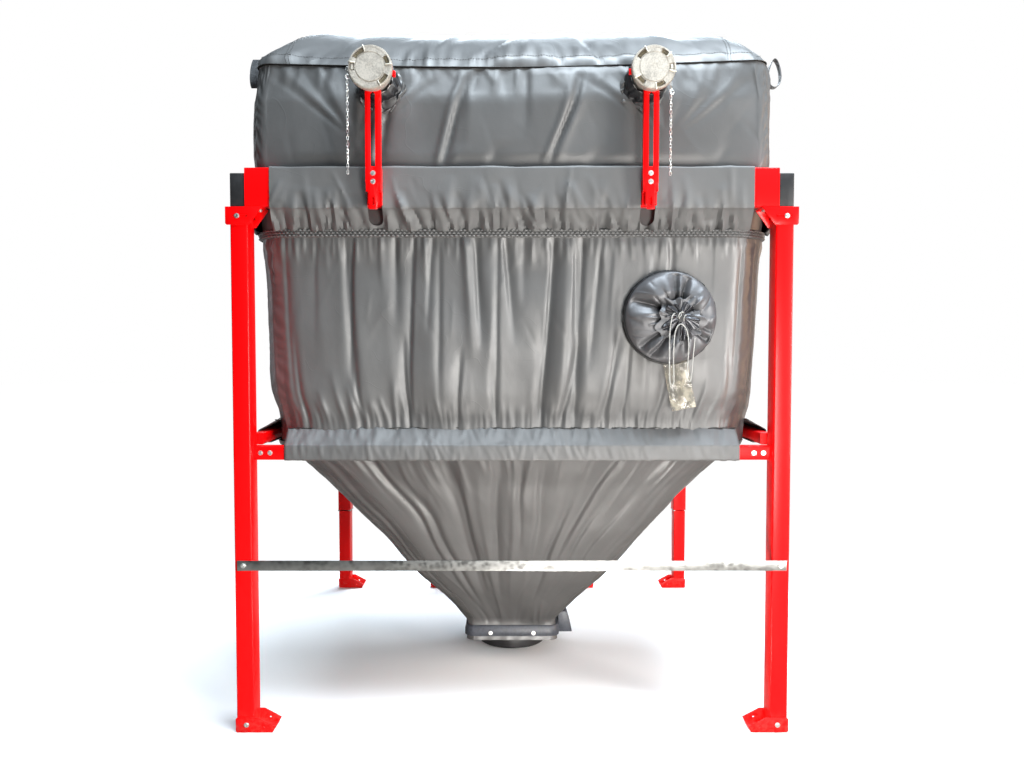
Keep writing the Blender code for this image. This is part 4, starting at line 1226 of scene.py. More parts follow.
def make_upper_wall(sizes):
    """The bag above the hem: short gathers under the top seam and broad slanting folds."""
    rng = np.random.default_rng(23)
    columns = columns_for(0.0074)
    rows = np.linspace(0, 1, 58)
    low = HEM_LOW + 0.010
    top_ring, _ = rounded_square(SEAM_HALF, CORNER_RADIUS, *columns)
    seam = seam_heights(top_ring)
    height = seam[None] + (low - seam[None]) * rows[:, None]
    levels = SEAM_MIDDLE + (low - SEAM_MIDDLE) * rows
    radii = np.interp(levels, (HEM_LOW + 0.03, RAIL_HIGH.z + 0.02), (HEM_RADIUS, CORNER_RADIUS))
    halves = np.interp(levels, (SEAM_MIDDLE - 0.12, SEAM_MIDDLE), (BAG_HALF, SEAM_HALF))
    rings = [rounded_square(half, radius, *columns) for half, radius in zip(halves, radii)]
    points = np.concatenate([np.array([ring for ring, _ in rings]), height[..., None]], -1)
    normals = np.array([flat_normals(facing) for _, facing in rings])
    arc, near = arc_round(columns, height.shape)
    deep = sizes.fold_depth
    top = SEAM_MIDDLE
    around = ROUND_LENGTH
    gathers = fold_rows(
        rng, around, deep,
        (190, (top + 0.01, top + 0.01), (0.05, 0.13), (0.007, 0.012), (0.3, 0.8), (-0.4, 0.5), 0.5),
        (60, (top, top + 0.02), (0.12, 0.26), (0.012, 0.020), (-0.9, 0.8), (-0.2, 0.6), 0.6),
    )
    slants = fold_rows(
        rng, around, deep,
        (26, (2.00, 2.20), (0.16, 0.34), (0.014, 0.030), (-0.7, 0.6), (-0.1, 0.5), 0.8),
        (14, (1.98, 2.2), (0.3, 0.5), (0.06, 0.12), (-0.9, 0.9), (-0.1, 0.5), 0.4),
        (30, (1.93, 1.96), (0.08, 0.2), (0.012, 0.020), (-0.8, 0.8), (0.0, 0.7), 0.6),
    )
    creases = scattered(rng, 110, around, (1.95, 2.25), (0.04, 0.15), (0.005, 0.007), (-0.0018, 0.0020),
                        (-1.3, 1.3))
    front = np.array([(STRAIGHT + x, *rest) for x, *rest in FRONT_SLANTS]) * (1, 1, 1, 1, 0.65 * deep, 1, 1)
    # Folds fan out below the necks
    necks = []
    for side in (-1, 1):
        place = STRAIGHT + side * PIPE_X
        for step in range(11):
            lean = -1.2 + 0.24 * step
            share = 0.45 if step % 2 else -0.4
            necks.append((place + 0.10 * lean, PIPE_Z - 0.10, 0.15, 0.010, share * deep, lean, 0.4))
    calm = 1 - 0.8 * ramp(near - 0.78, 0.22)
    wavy = arc + 0.014 * drift(rng, points, 0.40)
    shape = fold_field(wavy, height, np.concatenate([slants, front]), around) * calm
    shape += fold_field(wavy, height, np.concatenate([gathers, creases, np.array(necks)]), around)
    shape += 0.006 * drift(rng, points, 0.5) + corner_seam(arc, height)
    at_seam = ramp(seam[None] - height, 0.02)
    at_rail = ramp(height - (RAIL_HIGH.z + 0.002), 0.05)
    puffed = 0.016 * (1 - near ** 5) * ramp(seam[None] - height, 0.10) * at_rail
    shape = shape * (0.35 + 0.65 * at_seam) * at_rail + puffed - 0.003
    wall = wrapped("bag_upper_wall", points, normals, shape, arc)
    # The upper wall takes the darker copy of the cloth, a painted shade
    finish_piece(wall, "upper_cloth_painted_shade", ["bag_wall"])


def make_top(sizes):
    """The bag's top panel, drawn up to its crown and puckered along the seam."""
    rng = np.random.default_rng(31)
    count = 172
    grid = np.linspace(-1, 1, count)
    across, along = np.meshgrid(grid, grid)
    reach = np.maximum(np.abs(across), np.abs(along))
    turn = np.arctan2(along, across)
    ring, _ = rounded_square(SEAM_HALF, CORNER_RADIUS, *columns_for(0.01))
    edge_turn = np.arctan2(ring[:, 1], ring[:, 0])
    order = np.argsort(edge_turn)
    edge = np.stack([np.interp(turn, edge_turn[order], ring[order, axis], period=math.tau)
                     for axis in (0, 1)], -1)
    flat = edge * reach[..., None]
    seam = seam_heights(edge) + 0.004
    height = seam + (CROWN - 0.014 - seam) * (1 - reach ** 6.6)
    place = np.concatenate([flat, height[..., None]], -1)
    around = turn / math.tau * ROUND_LENGTH
    inward = (1 - reach) * BAG_HALF
    folds = fold_rows(
        rng, ROUND_LENGTH, sizes.fold_depth,
        (210, (0.0, 0.0), (0.03, 0.10), (0.009, 0.014), (0.4, 1.0), (-0.5, 0.5), 0.5),
        (70, (-0.02, 0.03), (0.12, 0.34), (0.014, 0.028), (-0.8, 1.2), (-0.6, 0.6), 0.5),
        (40, (0.06, 0.3), (0.10, 0.28), (0.014, 0.030), (-1.0, 1.4), (-1.4, 1.4), 0.6),
    )
    shape = fold_field(around, inward, folds, ROUND_LENGTH)
    shape = shape * np.clip(1 - inward / 0.75, 0, 1) + 0.008 * drift(rng, place, 0.45)
    shape *= ramp(inward, 0.012)
    out = np.concatenate([flat, np.zeros_like(flat[..., :1])], -1)
    out /= np.maximum(np.linalg.norm(out, axis=-1, keepdims=True), 1e-6)
    steep = reach[..., None] ** 6
    normal = out * steep + np.array((0.0, 0.0, 1.0)) * (1 - 0.5 * steep)
    place = about_centre(place + normal * shape[..., None])
    top = sheet_mesh("bag_top_panel", place, flat.copy(), flip=True)
    finish_piece(top, "top_cloth", ["bag_top"])
    # Stitches on the panel's slanting seams and along its edge
    spots = []
    lines = [place[:40, column] for column in (11, 12, count - 15, count - 14)]
    lines += [place[row, 3:-3] for row in (2, count - 3)] + [place[3:-3, row] for row in (2, count - 3)]
    for line in lines:
        out = ((line - (0.0, CENTRE_Y, 0.0)) / SEAM_HALF) ** 9
        line = line + 0.0010 * np.stack([out[:, 0], out[:, 1], np.ones(len(line))], 1)
        walked = walk(line)
        ends = np.arange(0.004, walked[-1] - 0.01, 0.0095)
        spots += turned_along(on_line(ends, walked, line), on_line(ends + 0.003, walked, line))
    seams = strewn("top_seam_stitches", stitch_master(0.0055, 0.0006), spots)
    finish_piece(seams, "thread")


def ring_tube(name, centre, radius):
    """A closed tube round a ring of points."""
    columns = 8
    ahead = np.roll(centre, -1, axis=0) - np.roll(centre, 1, axis=0)
    ahead /= np.linalg.norm(ahead, axis=1)[:, None]
    side = np.cross(ahead, (0.0, 0.0, 1.0))
    side /= np.linalg.norm(side, axis=1)[:, None]
    up = np.cross(side, ahead)
    bend = np.arange(columns) / columns * math.tau
    circle = np.cos(bend)[:, None, None] * side + np.sin(bend)[:, None, None] * up
    points = centre[None] + radius * circle
    points = np.concatenate([points, points[:1]], 0)
    walked = np.cumsum(np.linalg.norm(np.roll(centre, -1, axis=0) - centre, axis=1))
    uv = np.stack([np.broadcast_to(walked, points.shape[:2]),
                   np.broadcast_to((np.arange(columns + 1) / columns * 0.02)[:, None], points.shape[:2])], -1)
    obj = sheet_mesh(name, points, uv, closed=True)
    return turned_out(obj, MERGE)


def bag_ring(inset, height, half=BAG_HALF, radius=HEM_RADIUS):
    """Points round the bag, a little in or out from its wall, at a height or a function of the ring."""
    ring, facing = rounded_square(half, radius, *columns_for(0.012))
    heights = height(ring) if callable(height) else np.full(len(ring), height)
    return about_centre(np.column_stack([ring - facing * inset, heights]))


def make_piping(sizes):
    """The dark welt along the top seam."""
    centre = bag_ring(-0.001, lambda ring: seam_heights(ring) + 0.003, SEAM_HALF, CORNER_RADIUS)
    piping = ring_tube("top_piping", centre, sizes.piping_radius)
    finish_piece(piping, "piping")


def make_hem(sizes):
    """The hem band, drawn up into small puckers between its rows of stitches."""
    rng = np.random.default_rng(41)
    columns = columns_for(0.0034)
    share = np.concatenate([[3.25], np.linspace(3, 0, 19), [-0.25]])
    ring, facing = rounded_square(BAG_HALF, HEM_RADIUS, *columns)
    points = np.array([np.column_stack([ring, np.full(len(ring), HEM_LOW + HEM_HEIGHT * row / 3)])
                       for row in share])
    normals = np.broadcast_to(flat_normals(facing), points.shape)
    arc, _ = arc_round(columns, points.shape[:2])
    share = np.broadcast_to(share[:, None], points.shape[:2])
    puff = np.abs(np.sin(share * math.pi)) ** 0.55
    row = np.floor(np.clip(share, 0, 2.99))
    phase = arc / HEM_PUCKER + 0.14 * np.sin(arc * 9) + 0.5 * row
    ripple = np.abs(np.sin(math.pi * phase)) ** 2
    size = 0.85 + 0.15 * np.sin(2.4 * np.floor(phase) + row)
    shape = -0.0002 + puff * (0.0024 + 0.0062 * ripple * size) + 0.0006 * drift(rng, points, 0.12)
    shape = np.where((share > 3.1) | (share < -0.1), -0.003, shape) + 0.0035
    finish_piece(wrapped("gathered_hem", points, normals, shape, arc), "cloth")


def stitch_master(length, radius):
    """One stitch: a short thread whose ends dip into the cloth."""
    return block("stitch_master", (-length / 2, -radius, -radius), (length / 2, radius, radius), 0.0)


def turned_along(spots, after):
    """Places at the spots whose local X points to the next ones."""
    return [Matrix.Translation(spot) @ Vector(ahead - spot).to_track_quat("X", "Z").to_matrix().to_4x4()
            for spot, ahead in zip(spots, after)]


def stitch_places(centre, pitch):
    """Even places along a ring of points, each turned along it."""
    closed = np.concatenate([centre, centre[:1]])
    walked = walk(closed)
    count = int(walked[-1] / pitch)
    along = (np.arange(count) + 0.5) / count * walked[-1]
    return turned_along(on_line(along, walked, closed), on_line(along + 0.002, walked, closed))


def make_stitches(sizes):
    """Rows of stitches on the hem."""
    places = []
    for share in (0.0, 1 / 3, 2 / 3, 1.0):
        places += stitch_places(bag_ring(-0.0042, HEM_LOW + HEM_HEIGHT * share), sizes.stitch_pitch)
    hem = strewn("hem_stitches", stitch_master(0.0045, 0.0005), places)
    finish_piece(hem, "thread")


def make_hopper(sizes):
    """The hopper, whose long folds run down to the outlet."""
    rng = np.random.default_rng(53)
    columns = columns_for(0.0078)
    heights = np.concatenate([np.linspace(0.990, 0.30, 45), np.linspace(0.290, 0.067, 22)])
    rings = [(height, half, radius, 0.0) for height, half, radius in HOPPER_RINGS]
    points, normals = shell(rings, columns, heights, 0.012)
    arc, near = arc_round(columns, points.shape[:2])
    height = points[..., 2]
    deep = sizes.fold_depth
    around = ROUND_LENGTH
    known, halves, _ = zip(*reversed(HOPPER_RINGS))
    narrow = np.interp(height, known, halves) / WAIST_HALF
    long_folds = fold_rows(
        rng, around, deep,
        (56, (0.55, 0.80), (0.25, 0.55), (0.016, 0.030), (-3.4, -1.6), (-0.10, 0.14), 0.8),
        (46, (0.50, 0.75), (0.25, 0.60), (0.024, 0.046), (0.5, 1.8), (-0.10, 0.14), 0.8),
        (18, (0.45, 0.7), (0.5, 0.8), (0.08, 0.15), (-1.6, 1.6), (-0.2, 0.2), 0.4),
    )
    fine = fold_rows(
        rng, around, deep,
        (190, (0.93, 0.93), (0.06, 0.20), (0.007, 0.012), (-0.5, 1.1), (-0.2, 0.2), 0.5),
        (70, (0.90, 0.93), (0.18, 0.34), (0.011, 0.018), (-1.5, 0.9), (-0.12, 0.12), 0.6),
        (54, (0.15, 0.19), (0.05, 0.14), (0.035, 0.080), (-0.9, 1.2), (-1.0, 1.0), 0.5),
    )
    creases = scattered(rng, 90, around, (0.3, 0.85), (0.05, 0.16), (0.009, 0.014), (-0.0025, 0.003),
                        (-1.2, 1.2))
    wavy = arc + 0.016 * drift(rng, points, 0.45)
    shape = fold_field(wavy, height, long_folds, around) * (0.30 + 0.70 * narrow)
    shape *= 1 - 0.35 * ramp(near - 0.8, 0.2)
    shape += fold_field(wavy, height, np.concatenate([fine, creases]), around)
    shape += 0.005 * drift(rng, points, 0.3) + 0.8 * corner_seam(arc, height)
    collar = ramp(height - 0.131, 0.03)
    tail = ramp(0.087 - height, 0.010)
    shape = shape * collar + tail * (0.006 + 0.001 * np.sin(arc * 23)) - 0.001
    hopper = wrapped("sewn_hopper", points, normals, shape, arc * narrow)
    finish_piece(hopper, "hopper_cloth", ["hopper"])


def sleeve(name, quarter, section, half, step, folds, fixed, thickness, lift=0.0):
    """A cloth sleeve: a bent section drawn along one side of the frame."""
    coarse = 1.0 if quarter == 0 else 1.5
    along, places, outward = bent_path(section, 0.006, step * coarse)
    across = np.linspace(-half, half, round(2 * half / (0.0070 * coarse)))
    u, v = np.meshgrid(across, along)
    rng = np.random.default_rng(7 + quarter)
    wavy = u + 0.008 * drift(rng, np.stack([u, v, v * 0], -1), 0.3)
    shape = fold_field(wavy, v, folds)
    # Where a rail lies behind the cloth, its folds only stand outwards
    bare = fixed(v)
    shape = np.where(bare > 0, np.maximum(shape + lift * bare, 0.0) * bare + shape * (1 - bare), shape)
    points = np.stack([u, -(places[:, 0][:, None] + outward[:, 0][:, None] * shape),
                       places[:, 1][:, None] + outward[:, 1][:, None] * shape], -1)
    obj = sheet_mesh(name, about_centre(turned_to(points, quarter)), np.stack([u, v], -1), flip=True)
    return modified(obj, "SOLIDIFY", thickness=thickness, offset=-1, use_even_offset=False)


def make_upper_sleeves(sizes):
    """The sleeves that carry the bag on the upper rails."""
    lift = sizes.cloth_thickness + 0.0006
    for name, quarter in SIDES:
        rng = np.random.default_rng(61 + quarter)
        high = RAIL_HIGH.z if quarter % 2 == 0 else SIDE_RAIL_HIGH
        face, back = FRAME_HALF + lift, BAG_HALF + 0.0012
        section = [(BAG_HALF + 0.004, HEM_LOW + HEM_HEIGHT - 0.004), (face, RAIL_LOW.z - lift),
                   (face, high + lift), (back, high + lift), (back, RAIL_LOW.z + 0.01)]
        slope = math.dist(section[0], section[1])
        rail = slope + high - RAIL_LOW.z
        width = 2 * UPPER_SLEEVE_HALF
        folds = np.concatenate([
            fold_rows(
                rng, width, sizes.fold_depth,
                (90, (0.0, 0.0), (0.02, 0.07), (0.0050, 0.0075), (0.4, 0.9), (-0.2, 0.2), 0.4),
                (40, (0.0, 0.01), (0.09, 0.15), (0.007, 0.012), (-1.6, -0.6), (-0.5, 0.2), 0.6),
                (30, (0.0, 0.03), (0.10, 0.20), (0.010, 0.018), (0.5, 1.3), (-0.4, 0.2), 0.6),
            ),
            scattered(rng, 46, width, (0.6 * slope, rail * 0.8), (0.05, 0.11), (0.005, 0.010),
                      (-0.0030, 0.0050), (-0.6, 0.6), 0.6),
            scattered(rng, 20, width, (slope, rail), (0.10, 0.16), (0.03, 0.06), (-0.003, 0.004),
                      (-0.5, 0.5)),
        ])
        folds[:, 0] -= UPPER_SLEEVE_HALF

        def fixed(v, slope=slope, end=rail + face - back):
            return ramp(v - slope + 0.012, 0.010) * ramp(end - v, 0.008)

        piece = sleeve(f"rail_sleeve_{name}", quarter, section, UPPER_SLEEVE_HALF, 0.0065,
                       folds[folds[:, 1] < rail], fixed, sizes.cloth_thickness, 0.0026)
        if name == "front":
            for side in (-1, 1):
                low, top = ((side * PIPE_X + across, depth, up)
                            for across, depth, up in zip(NOTCH_ACROSS, (-0.04, 0.04), NOTCH_UP))
                tool = block("notch_tool", low, top, 0.020, 5, along=1)
                cut_out(piece, moved(tool, Matrix.Translation((0, RAIL_LOW.y + 0.012, RAIL_LOW.z - 0.018))))
        # The upper sleeves take the darker copy of the cloth, a painted shade
        finish_piece(piece, "sleeve_cloth_painted_shade", [f"upper_sleeve_{name}"])


def make_lower_sleeves(sizes):
    """The sleeves that hold the bag's foot on the lower rails, with the dark welt along their top."""
    lift = sizes.cloth_thickness + 0.0006
    for name, quarter in SIDES:
        rng = np.random.default_rng(71 + quarter)
        low, high = (LOWER_LOW.z, LOWER_HIGH.z) if quarter % 2 == 0 else (LOWER_SIDE[0].z, LOWER_SIDE[1].z)
        face = LOWER_FACE + lift
        rise = 0.055 if quarter % 2 == 0 else 0.037
        section = [(LOWER_FACE - 0.044, low - lift), (face, low - lift), (face, high + lift),
                   (WAIST_HALF - 0.004, high + rise)]
        under = 0.044 + lift
        front = under + high - low + lift
        width = 2 * LOWER_SLEEVE_HALF
        folds = np.concatenate([
            scattered(rng, 90, width, (front + 0.080, front + 0.080), (0.05, 0.10), (0.005, 0.009),
                      (0.0012, 0.0042), (-0.3, 0.3), 0.5),
            scattered(rng, 50, width, (front + 0.04, front + 0.08), (0.06, 0.12), (0.010, 0.02),
                      (-0.0030, 0.0030), (-0.3, 0.3), 0.5),
            scattered(rng, 110, width, (under, front), (0.03, 0.06), (0.0035, 0.006),
                      (0.0006, 0.0036), (-0.5, 0.3), 0.5),
        ])
        folds[:, 0] -= LOWER_SLEEVE_HALF

        def fixed(v, under=under, front=front):
            return ramp(front + 0.01 - v, 0.02) * (v > under - 0.001)

        piece = sleeve(f"foot_sleeve_{name}", quarter, section, LOWER_SLEEVE_HALF, 0.006, folds, fixed,
                       sizes.cloth_thickness, 0.0016)
        # The foot sleeves take the darker copy of the cloth, a painted shade
        finish_piece(piece, "sleeve_cloth_painted_shade", [f"lower_sleeve_{name}"])
        # The welt is a thin tube along the sleeve's upper edge
        across = np.linspace(-LOWER_SLEEVE_HALF, LOWER_SLEEVE_HALF, 160)
        bend = np.arange(7) / 6 * math.tau
        size = sizes.piping_radius
        edge_y, edge_z = WAIST_HALF - 0.001, high + rise + 0.001
        points = np.stack([np.broadcast_to(across, (7, 160)),
                           np.broadcast_to(-(edge_y + size * np.cos(bend))[:, None], (7, 160)),
                           edge_z + size * np.sin(bend)[:, None] + 0.0015 * np.sin(across * 90)[None]], -1)
        uv = np.stack(np.broadcast_arrays(across[None], bend[:, None] * 0.003), -1)
        welt = sheet_mesh(f"foot_welt_{name}", about_centre(turned_to(points, quarter)), uv)
        finish_piece(turned_out(welt, MERGE, closed=True), "piping")


def make_loops(sizes):
    """The webbing loops near the bag's top corners; the left front one is turned flat to the front."""
    for name, x, y in CORNERS:
        low, high = (corner + Vector((0, 0, 0.022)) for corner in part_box(f"corner_loop_{name}"))
        bend = np.arange(48) / 48 * math.tau
        drop = (high.z - low.z) / 2
        upward = (low.z + high.z) / 2 + drop * np.sin(bend)
        taper = 0.55 + 0.45 * (1 - np.sin(bend)) / 2
        turned = name in ("front_left", "rear_right")
        if not turned:
            # The open ones stand further out
            low.x, high.x = low.x + min(x, 0) * 0.022, high.x + max(x, 0) * 0.022
        first, last, start, end = (low.y, high.y, low.x, high.x) if turned else (low.x, high.x, low.y, high.y)
        loose = (first + last) / 2 + x * (last - first) / 2 * np.cos(bend) * taper
        widths = np.linspace(start, end, 5)
        # The turned ones lean against the corner and narrow towards their foot
        foot = (1 - np.sin(bend)) / 2
        middle = (start + end) / 2 - x * 0.007 + x * 0.010 * (foot - 0.5)
        narrow = 0.92 - 0.40 * foot ** 4 - 0.25 * (1 - foot) ** 6
        rings = [(middle + (width - (start + end) / 2) * narrow, loose, upward) if turned
                 else (loose, np.full(48, width), upward) for width in widths]
        points = np.stack([np.stack(ring, 1) for ring in rings])
        uv = np.stack([np.broadcast_to(bend / math.tau * 0.25, (5, 48)),
                       np.broadcast_to(widths[:, None], (5, 48))], -1)
        loop = sheet_mesh(f"webbing_loop_{name}", points, uv, closed=True)
        modified(turned_out(loop), "SOLIDIFY", thickness=0.0018, offset=-1)
        finish_piece(smooth(loop, 50), "webbing", [f"corner_loop_{name}"])


# Filling pipes


def polar_sheet(name, rows, flip=False):
    """A sheet round an axis, from rows of points, with half a metre of cloth to a turn."""
    points = np.array(rows)
    count, columns = points.shape[:2]
    uv = np.stack(np.meshgrid(np.arange(columns) / columns * 0.5, np.arange(count) * 0.005), -1)
    return sheet_mesh(name, points, uv, closed=True, flip=flip)


def face_ring(bend, x, y, z, radius):
    """A ring of points round a line that runs from the front to the back."""
    return np.stack([x + radius * np.cos(bend), np.broadcast_to(y, bend.shape), z + radius * np.sin(bend)], 1)


def make_necks(sizes):
    """The black cloth necks, bunched and tied round the pipes."""
    wall = CENTRE_Y - BAG_HALF
    bend = np.arange(132) / 132 * math.tau
    for side_name, side in HANDS:
        reach = wall + 0.004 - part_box(f"fill_neck_{side_name}")[0].y
        rng = np.random.default_rng(83 + side)
        folds = scattered(rng, 26, math.tau, (0.1, 0.8), (0.4, 1.0), (0.05, 0.12), (-0.010, 0.008),
                          (-0.8, 0.8), 0.6)
        rows = []
        for share in np.linspace(0, 1, 40):
            base = np.interp(share, *zip(*NECK_PROFILE))
            loose = np.clip(math.sin(math.pi * min(1.0, share / 0.8)), 0, 1)
            ruffle = ramp(share - 0.84, 0.16)
            radius = base + fold_field(bend, share, folds, math.tau) * loose
            radius = radius + 0.003 * ruffle * np.cos(14 * bend)
            flare = np.clip(1 - share / 0.3, 0, 1)
            radius = radius + flare * (0.003 * np.cos(5 * bend + side) + 0.002 * np.cos(9 * bend))
            radius = np.maximum(radius, PIPE_RADIUS + 0.002)
            sag_x, sag_z = -side * (0.006 * loose + 0.015 * flare), -0.008 * loose - 0.032 * flare
            y = wall + 0.004 - share * reach - 0.012 * flare
            rows.append(face_ring(bend, side * PIPE_X + sag_x, y, PIPE_Z + sag_z, radius))
        neck = polar_sheet(f"tied_neck_{side_name}", rows)
        finish_piece(neck, "black_cloth", [f"fill_neck_{side_name}"])
        # A ruffled strip of the wall's cloth sews it on
        creases = scattered(rng, 24, math.tau, (0.0, 1.0), (0.6, 1.2), (0.05, 0.14), (-0.011, 0.003),
                            (-0.6, 0.6))
        strip = []
        for share in np.linspace(0, 1, 9):
            radius = 0.068 + 0.013 * share + 0.003 * np.cos(5 * bend + side)
            radius = radius + 0.003 * np.cos(9 * bend) * share
            y = wall - 0.012 + 0.006 * share + fold_field(bend, share, creases, math.tau)
            strip.append(face_ring(bend, side * (PIPE_X - 0.015), y, PIPE_Z - 0.032, radius))
        strip = polar_sheet(f"neck_strip_{side_name}", strip, flip=True)
        finish_piece(strip, "cloth")
        tie_y = wall + 0.004 - 0.82 * reach
        tie = round_bar_ring(f"neck_tie_{side_name}", 0.0605, 0.0022, 48, (side * PIPE_X, tie_y, PIPE_Z))
        finish_piece(smooth(tie), "cord")


def make_pipes(sizes):
    """The filling pipes with their coupling ends."""
    for side, _ in HANDS:
        remade_as(f"fill_pipe_{side}", f"coupling_pipe_{side}", 0.0008, "cast", 1)


def arc_block(name, inner, outer, low, high, start, end):
    """A curved block round local Z between two angles in degrees, spun from an upright rectangle."""
    deselect()
    bpy.ops.mesh.primitive_plane_add(size=1, location=((inner + outer) / 2, 0, (low + high) / 2),
                                     rotation=(QUARTER, 0, 0))
    bpy.context.object.scale = (outer - inner, high - low, 1)
    obj = named(name)
    turn = math.radians(end - start)
    with editing(obj):
        bpy.ops.mesh.select_all(action="SELECT")
        bpy.ops.mesh.spin(steps=max(2, round(turn / 0.12)), angle=turn, center=(0, 0, 0), axis=(0, 0, 1))
    turned_out(obj)
    middle = sum((vert.co for vert in obj.data.vertices), Vector()) / len(obj.data.vertices)
    wanted = math.radians((start + end) / 2)
    return moved(obj, Matrix.Rotation(wanted - math.atan2(middle.y, middle.x), 4, "Z"))


def round_places(spot, radius, angles, height=0.0):
    """Places round a spot's local Z at angles in degrees, with their own X pointing outwards."""
    return [spot @ (Matrix.Rotation(math.radians(angle), 4, "Z") @ Matrix.Translation((radius, 0, height)))
            for angle in angles]


def make_caps(sizes):
    """The blind caps: a stepped disc, open at its rim over the coupling's claws, with ribs round its side."""
    depth = CAP_BACK - CAP_FRONT
    for side_name, side in HANDS:
        spot = facing_front(side * PIPE_X, CAP_BACK, PIPE_Z)
        recesses = CAP_RECESSES[side_name]
        cap = stepped(disc("cap", CAP_RADIUS - CAP_EDGE, depth - 0.0070, 72), CAP_STEPS)
        for start, end in recesses:
            tool = arc_block("recess_tool", 0.0505, 0.0655, depth - 0.013, depth + 0.01, start, end)
            cap = cut_out(cap, tool)
        cap = smooth(moved(cap, spot), 28)
        cap.name = f"blind_cap_{side_name}"
        finish_piece(cap, "cast", [f"fill_cap_{side_name}"])
        # Ribs round the side, and the ribbed claws in the openings
        rib = block("rib_master", (-0.0012, -0.0011, 0.001), (0.0014, 0.0011, depth - 0.009), 0.0005, 1)
        around = round_places(spot, CAP_RADIUS - CAP_EDGE, range(0, 360, 5))
        ribs = strewn(f"cap_ribs_{side_name}", rib, around)
        finish_piece(ribs, "cast")
        claw = block("claw_master", (0.0, -0.0012, 0.0), (0.0105, 0.0012, 0.0060), 0.0006, 2)
        angles = [angle for start, end in recesses[1:] for angle in np.arange(start + 3.0, end - 2.0, 3.6)]
        around = round_places(spot, 0.0525, angles, depth - 0.0125)
        claws = strewn(f"coupling_claws_{side_name}", claw, around)
        finish_piece(claws, "brass")
        # Hooks stand across one end of each opening, the first one past the rim
        hook = block("hook_master", (0.0, -0.0018, -0.006), (0.0190, 0.0018, 0.0046), 0.0009, 2)
        with editing(hook):
            pick_faces(hook, lambda middle, normal: normal.x > 0.9)
            bpy.ops.mesh.extrude_region_move(TRANSFORM_OT_translate={"value": (0.0045, 0.0, 0.0010)})
            bpy.ops.transform.resize(value=(1, 0.7, 0.6))
        around = round_places(spot, 0.0500, [start for start, _ in recesses], depth - 0.004)
        hooks = strewn(f"cap_hooks_{side_name}", hook, around)
        finish_piece(hooks, "bright_cast")
        start, end = recesses[0]
        tab = arc_block("tab", 0.0535, 0.0610, depth - 0.014, depth - 0.0025, start + 6, end - 4)
        tab = smooth(moved(tab, spot), 30)
        tab.name = f"cap_tab_{side_name}"
        finish_piece(tab, "bright_cast")
        lever = block(f"coupling_lever_{side_name}", (-0.005, -0.006, -0.010), (0.005, 0.006, 0.010), 0.0028)
        angle = 0.0 if side < 0 else math.pi - 0.1
        place = (side * PIPE_X + LEVER_RADIUS * math.cos(angle), CAP_BACK + 0.012,
                 PIPE_Z + LEVER_RADIUS * math.sin(angle) - 0.012)
        finish_piece(moved(lever, Matrix.Translation(place)), "paint")


def make_arms(sizes):
    """The slotted arms under the caps, which narrow towards their foot."""
    for side_name, side in HANDS:
        x = side * PIPE_X
        arm = remade(f"fill_arm_{side_name}", f"slotted_arm_{side_name}", 0.0010)
        cut_out(arm, slot_tool(x, ARM_FACE, *ARM_SLOT, 0.03, upright=True))
        for edge in (-1, 1):
            step = block("step_tool", (0.0165, -0.03, -0.06), (0.0365, 0.03, 0.0))
            cut_out(arm, moved(step, Matrix.Translation((x + edge * 0.0265 - 0.0265, ARM_FACE, ARM_STEP))))
        finish_piece(arm, "paint", [f"fill_arm_{side_name}"])


def link_master():
    """A long chain link: a ring whose halves are drawn apart."""
    link = round_bar_ring("link_master", 0.0031, 0.0012, 14, bar_segments=6)
    with editing(link):
        for way in (1, -1):
            pick_faces(link, lambda middle, normal: middle.z * way > 0)
            bpy.ops.transform.translate(value=(0, 0, way * 0.0036))
    return link


def make_chains(sizes):
    """The caps' chains: links that turn a little from one to the next."""
    master = link_master()
    for side_name, side in HANDS:
        across, up, length = CHAIN_DROPS[side_name]
        start = Vector((side * PIPE_X + across, CHAIN_Y, PIPE_Z + up))
        count = round((length - 2 * LINK_HALF) / LINK_PITCH)
        step = (length - 2 * LINK_HALF) / count
        places = []
        for index in range(count + 1):
            spot = start - Vector((0, 0, LINK_HALF + index * step))
            turn = index * QUARTER + 0.5 * math.sin(index * 0.7)
            places.append(Matrix.Translation(spot) @ Matrix.Rotation(turn, 4, "Z"))
        chain = strewn(f"cap_chain_{side_name}", master, places, keep=True)
        finish_piece(chain, "zinc", [f"chain_{side_name}"])
        # A larger ring takes the chain to the cap
        ring = round_bar_ring(f"chain_ring_{side_name}", 0.0072, 0.0013, 28,
                              start + Vector((0.002, -0.004, -0.030)))
        finish_piece(smooth(ring), "zinc")
    bpy.data.objects.remove(master, do_unlink=True)


# Inspection port


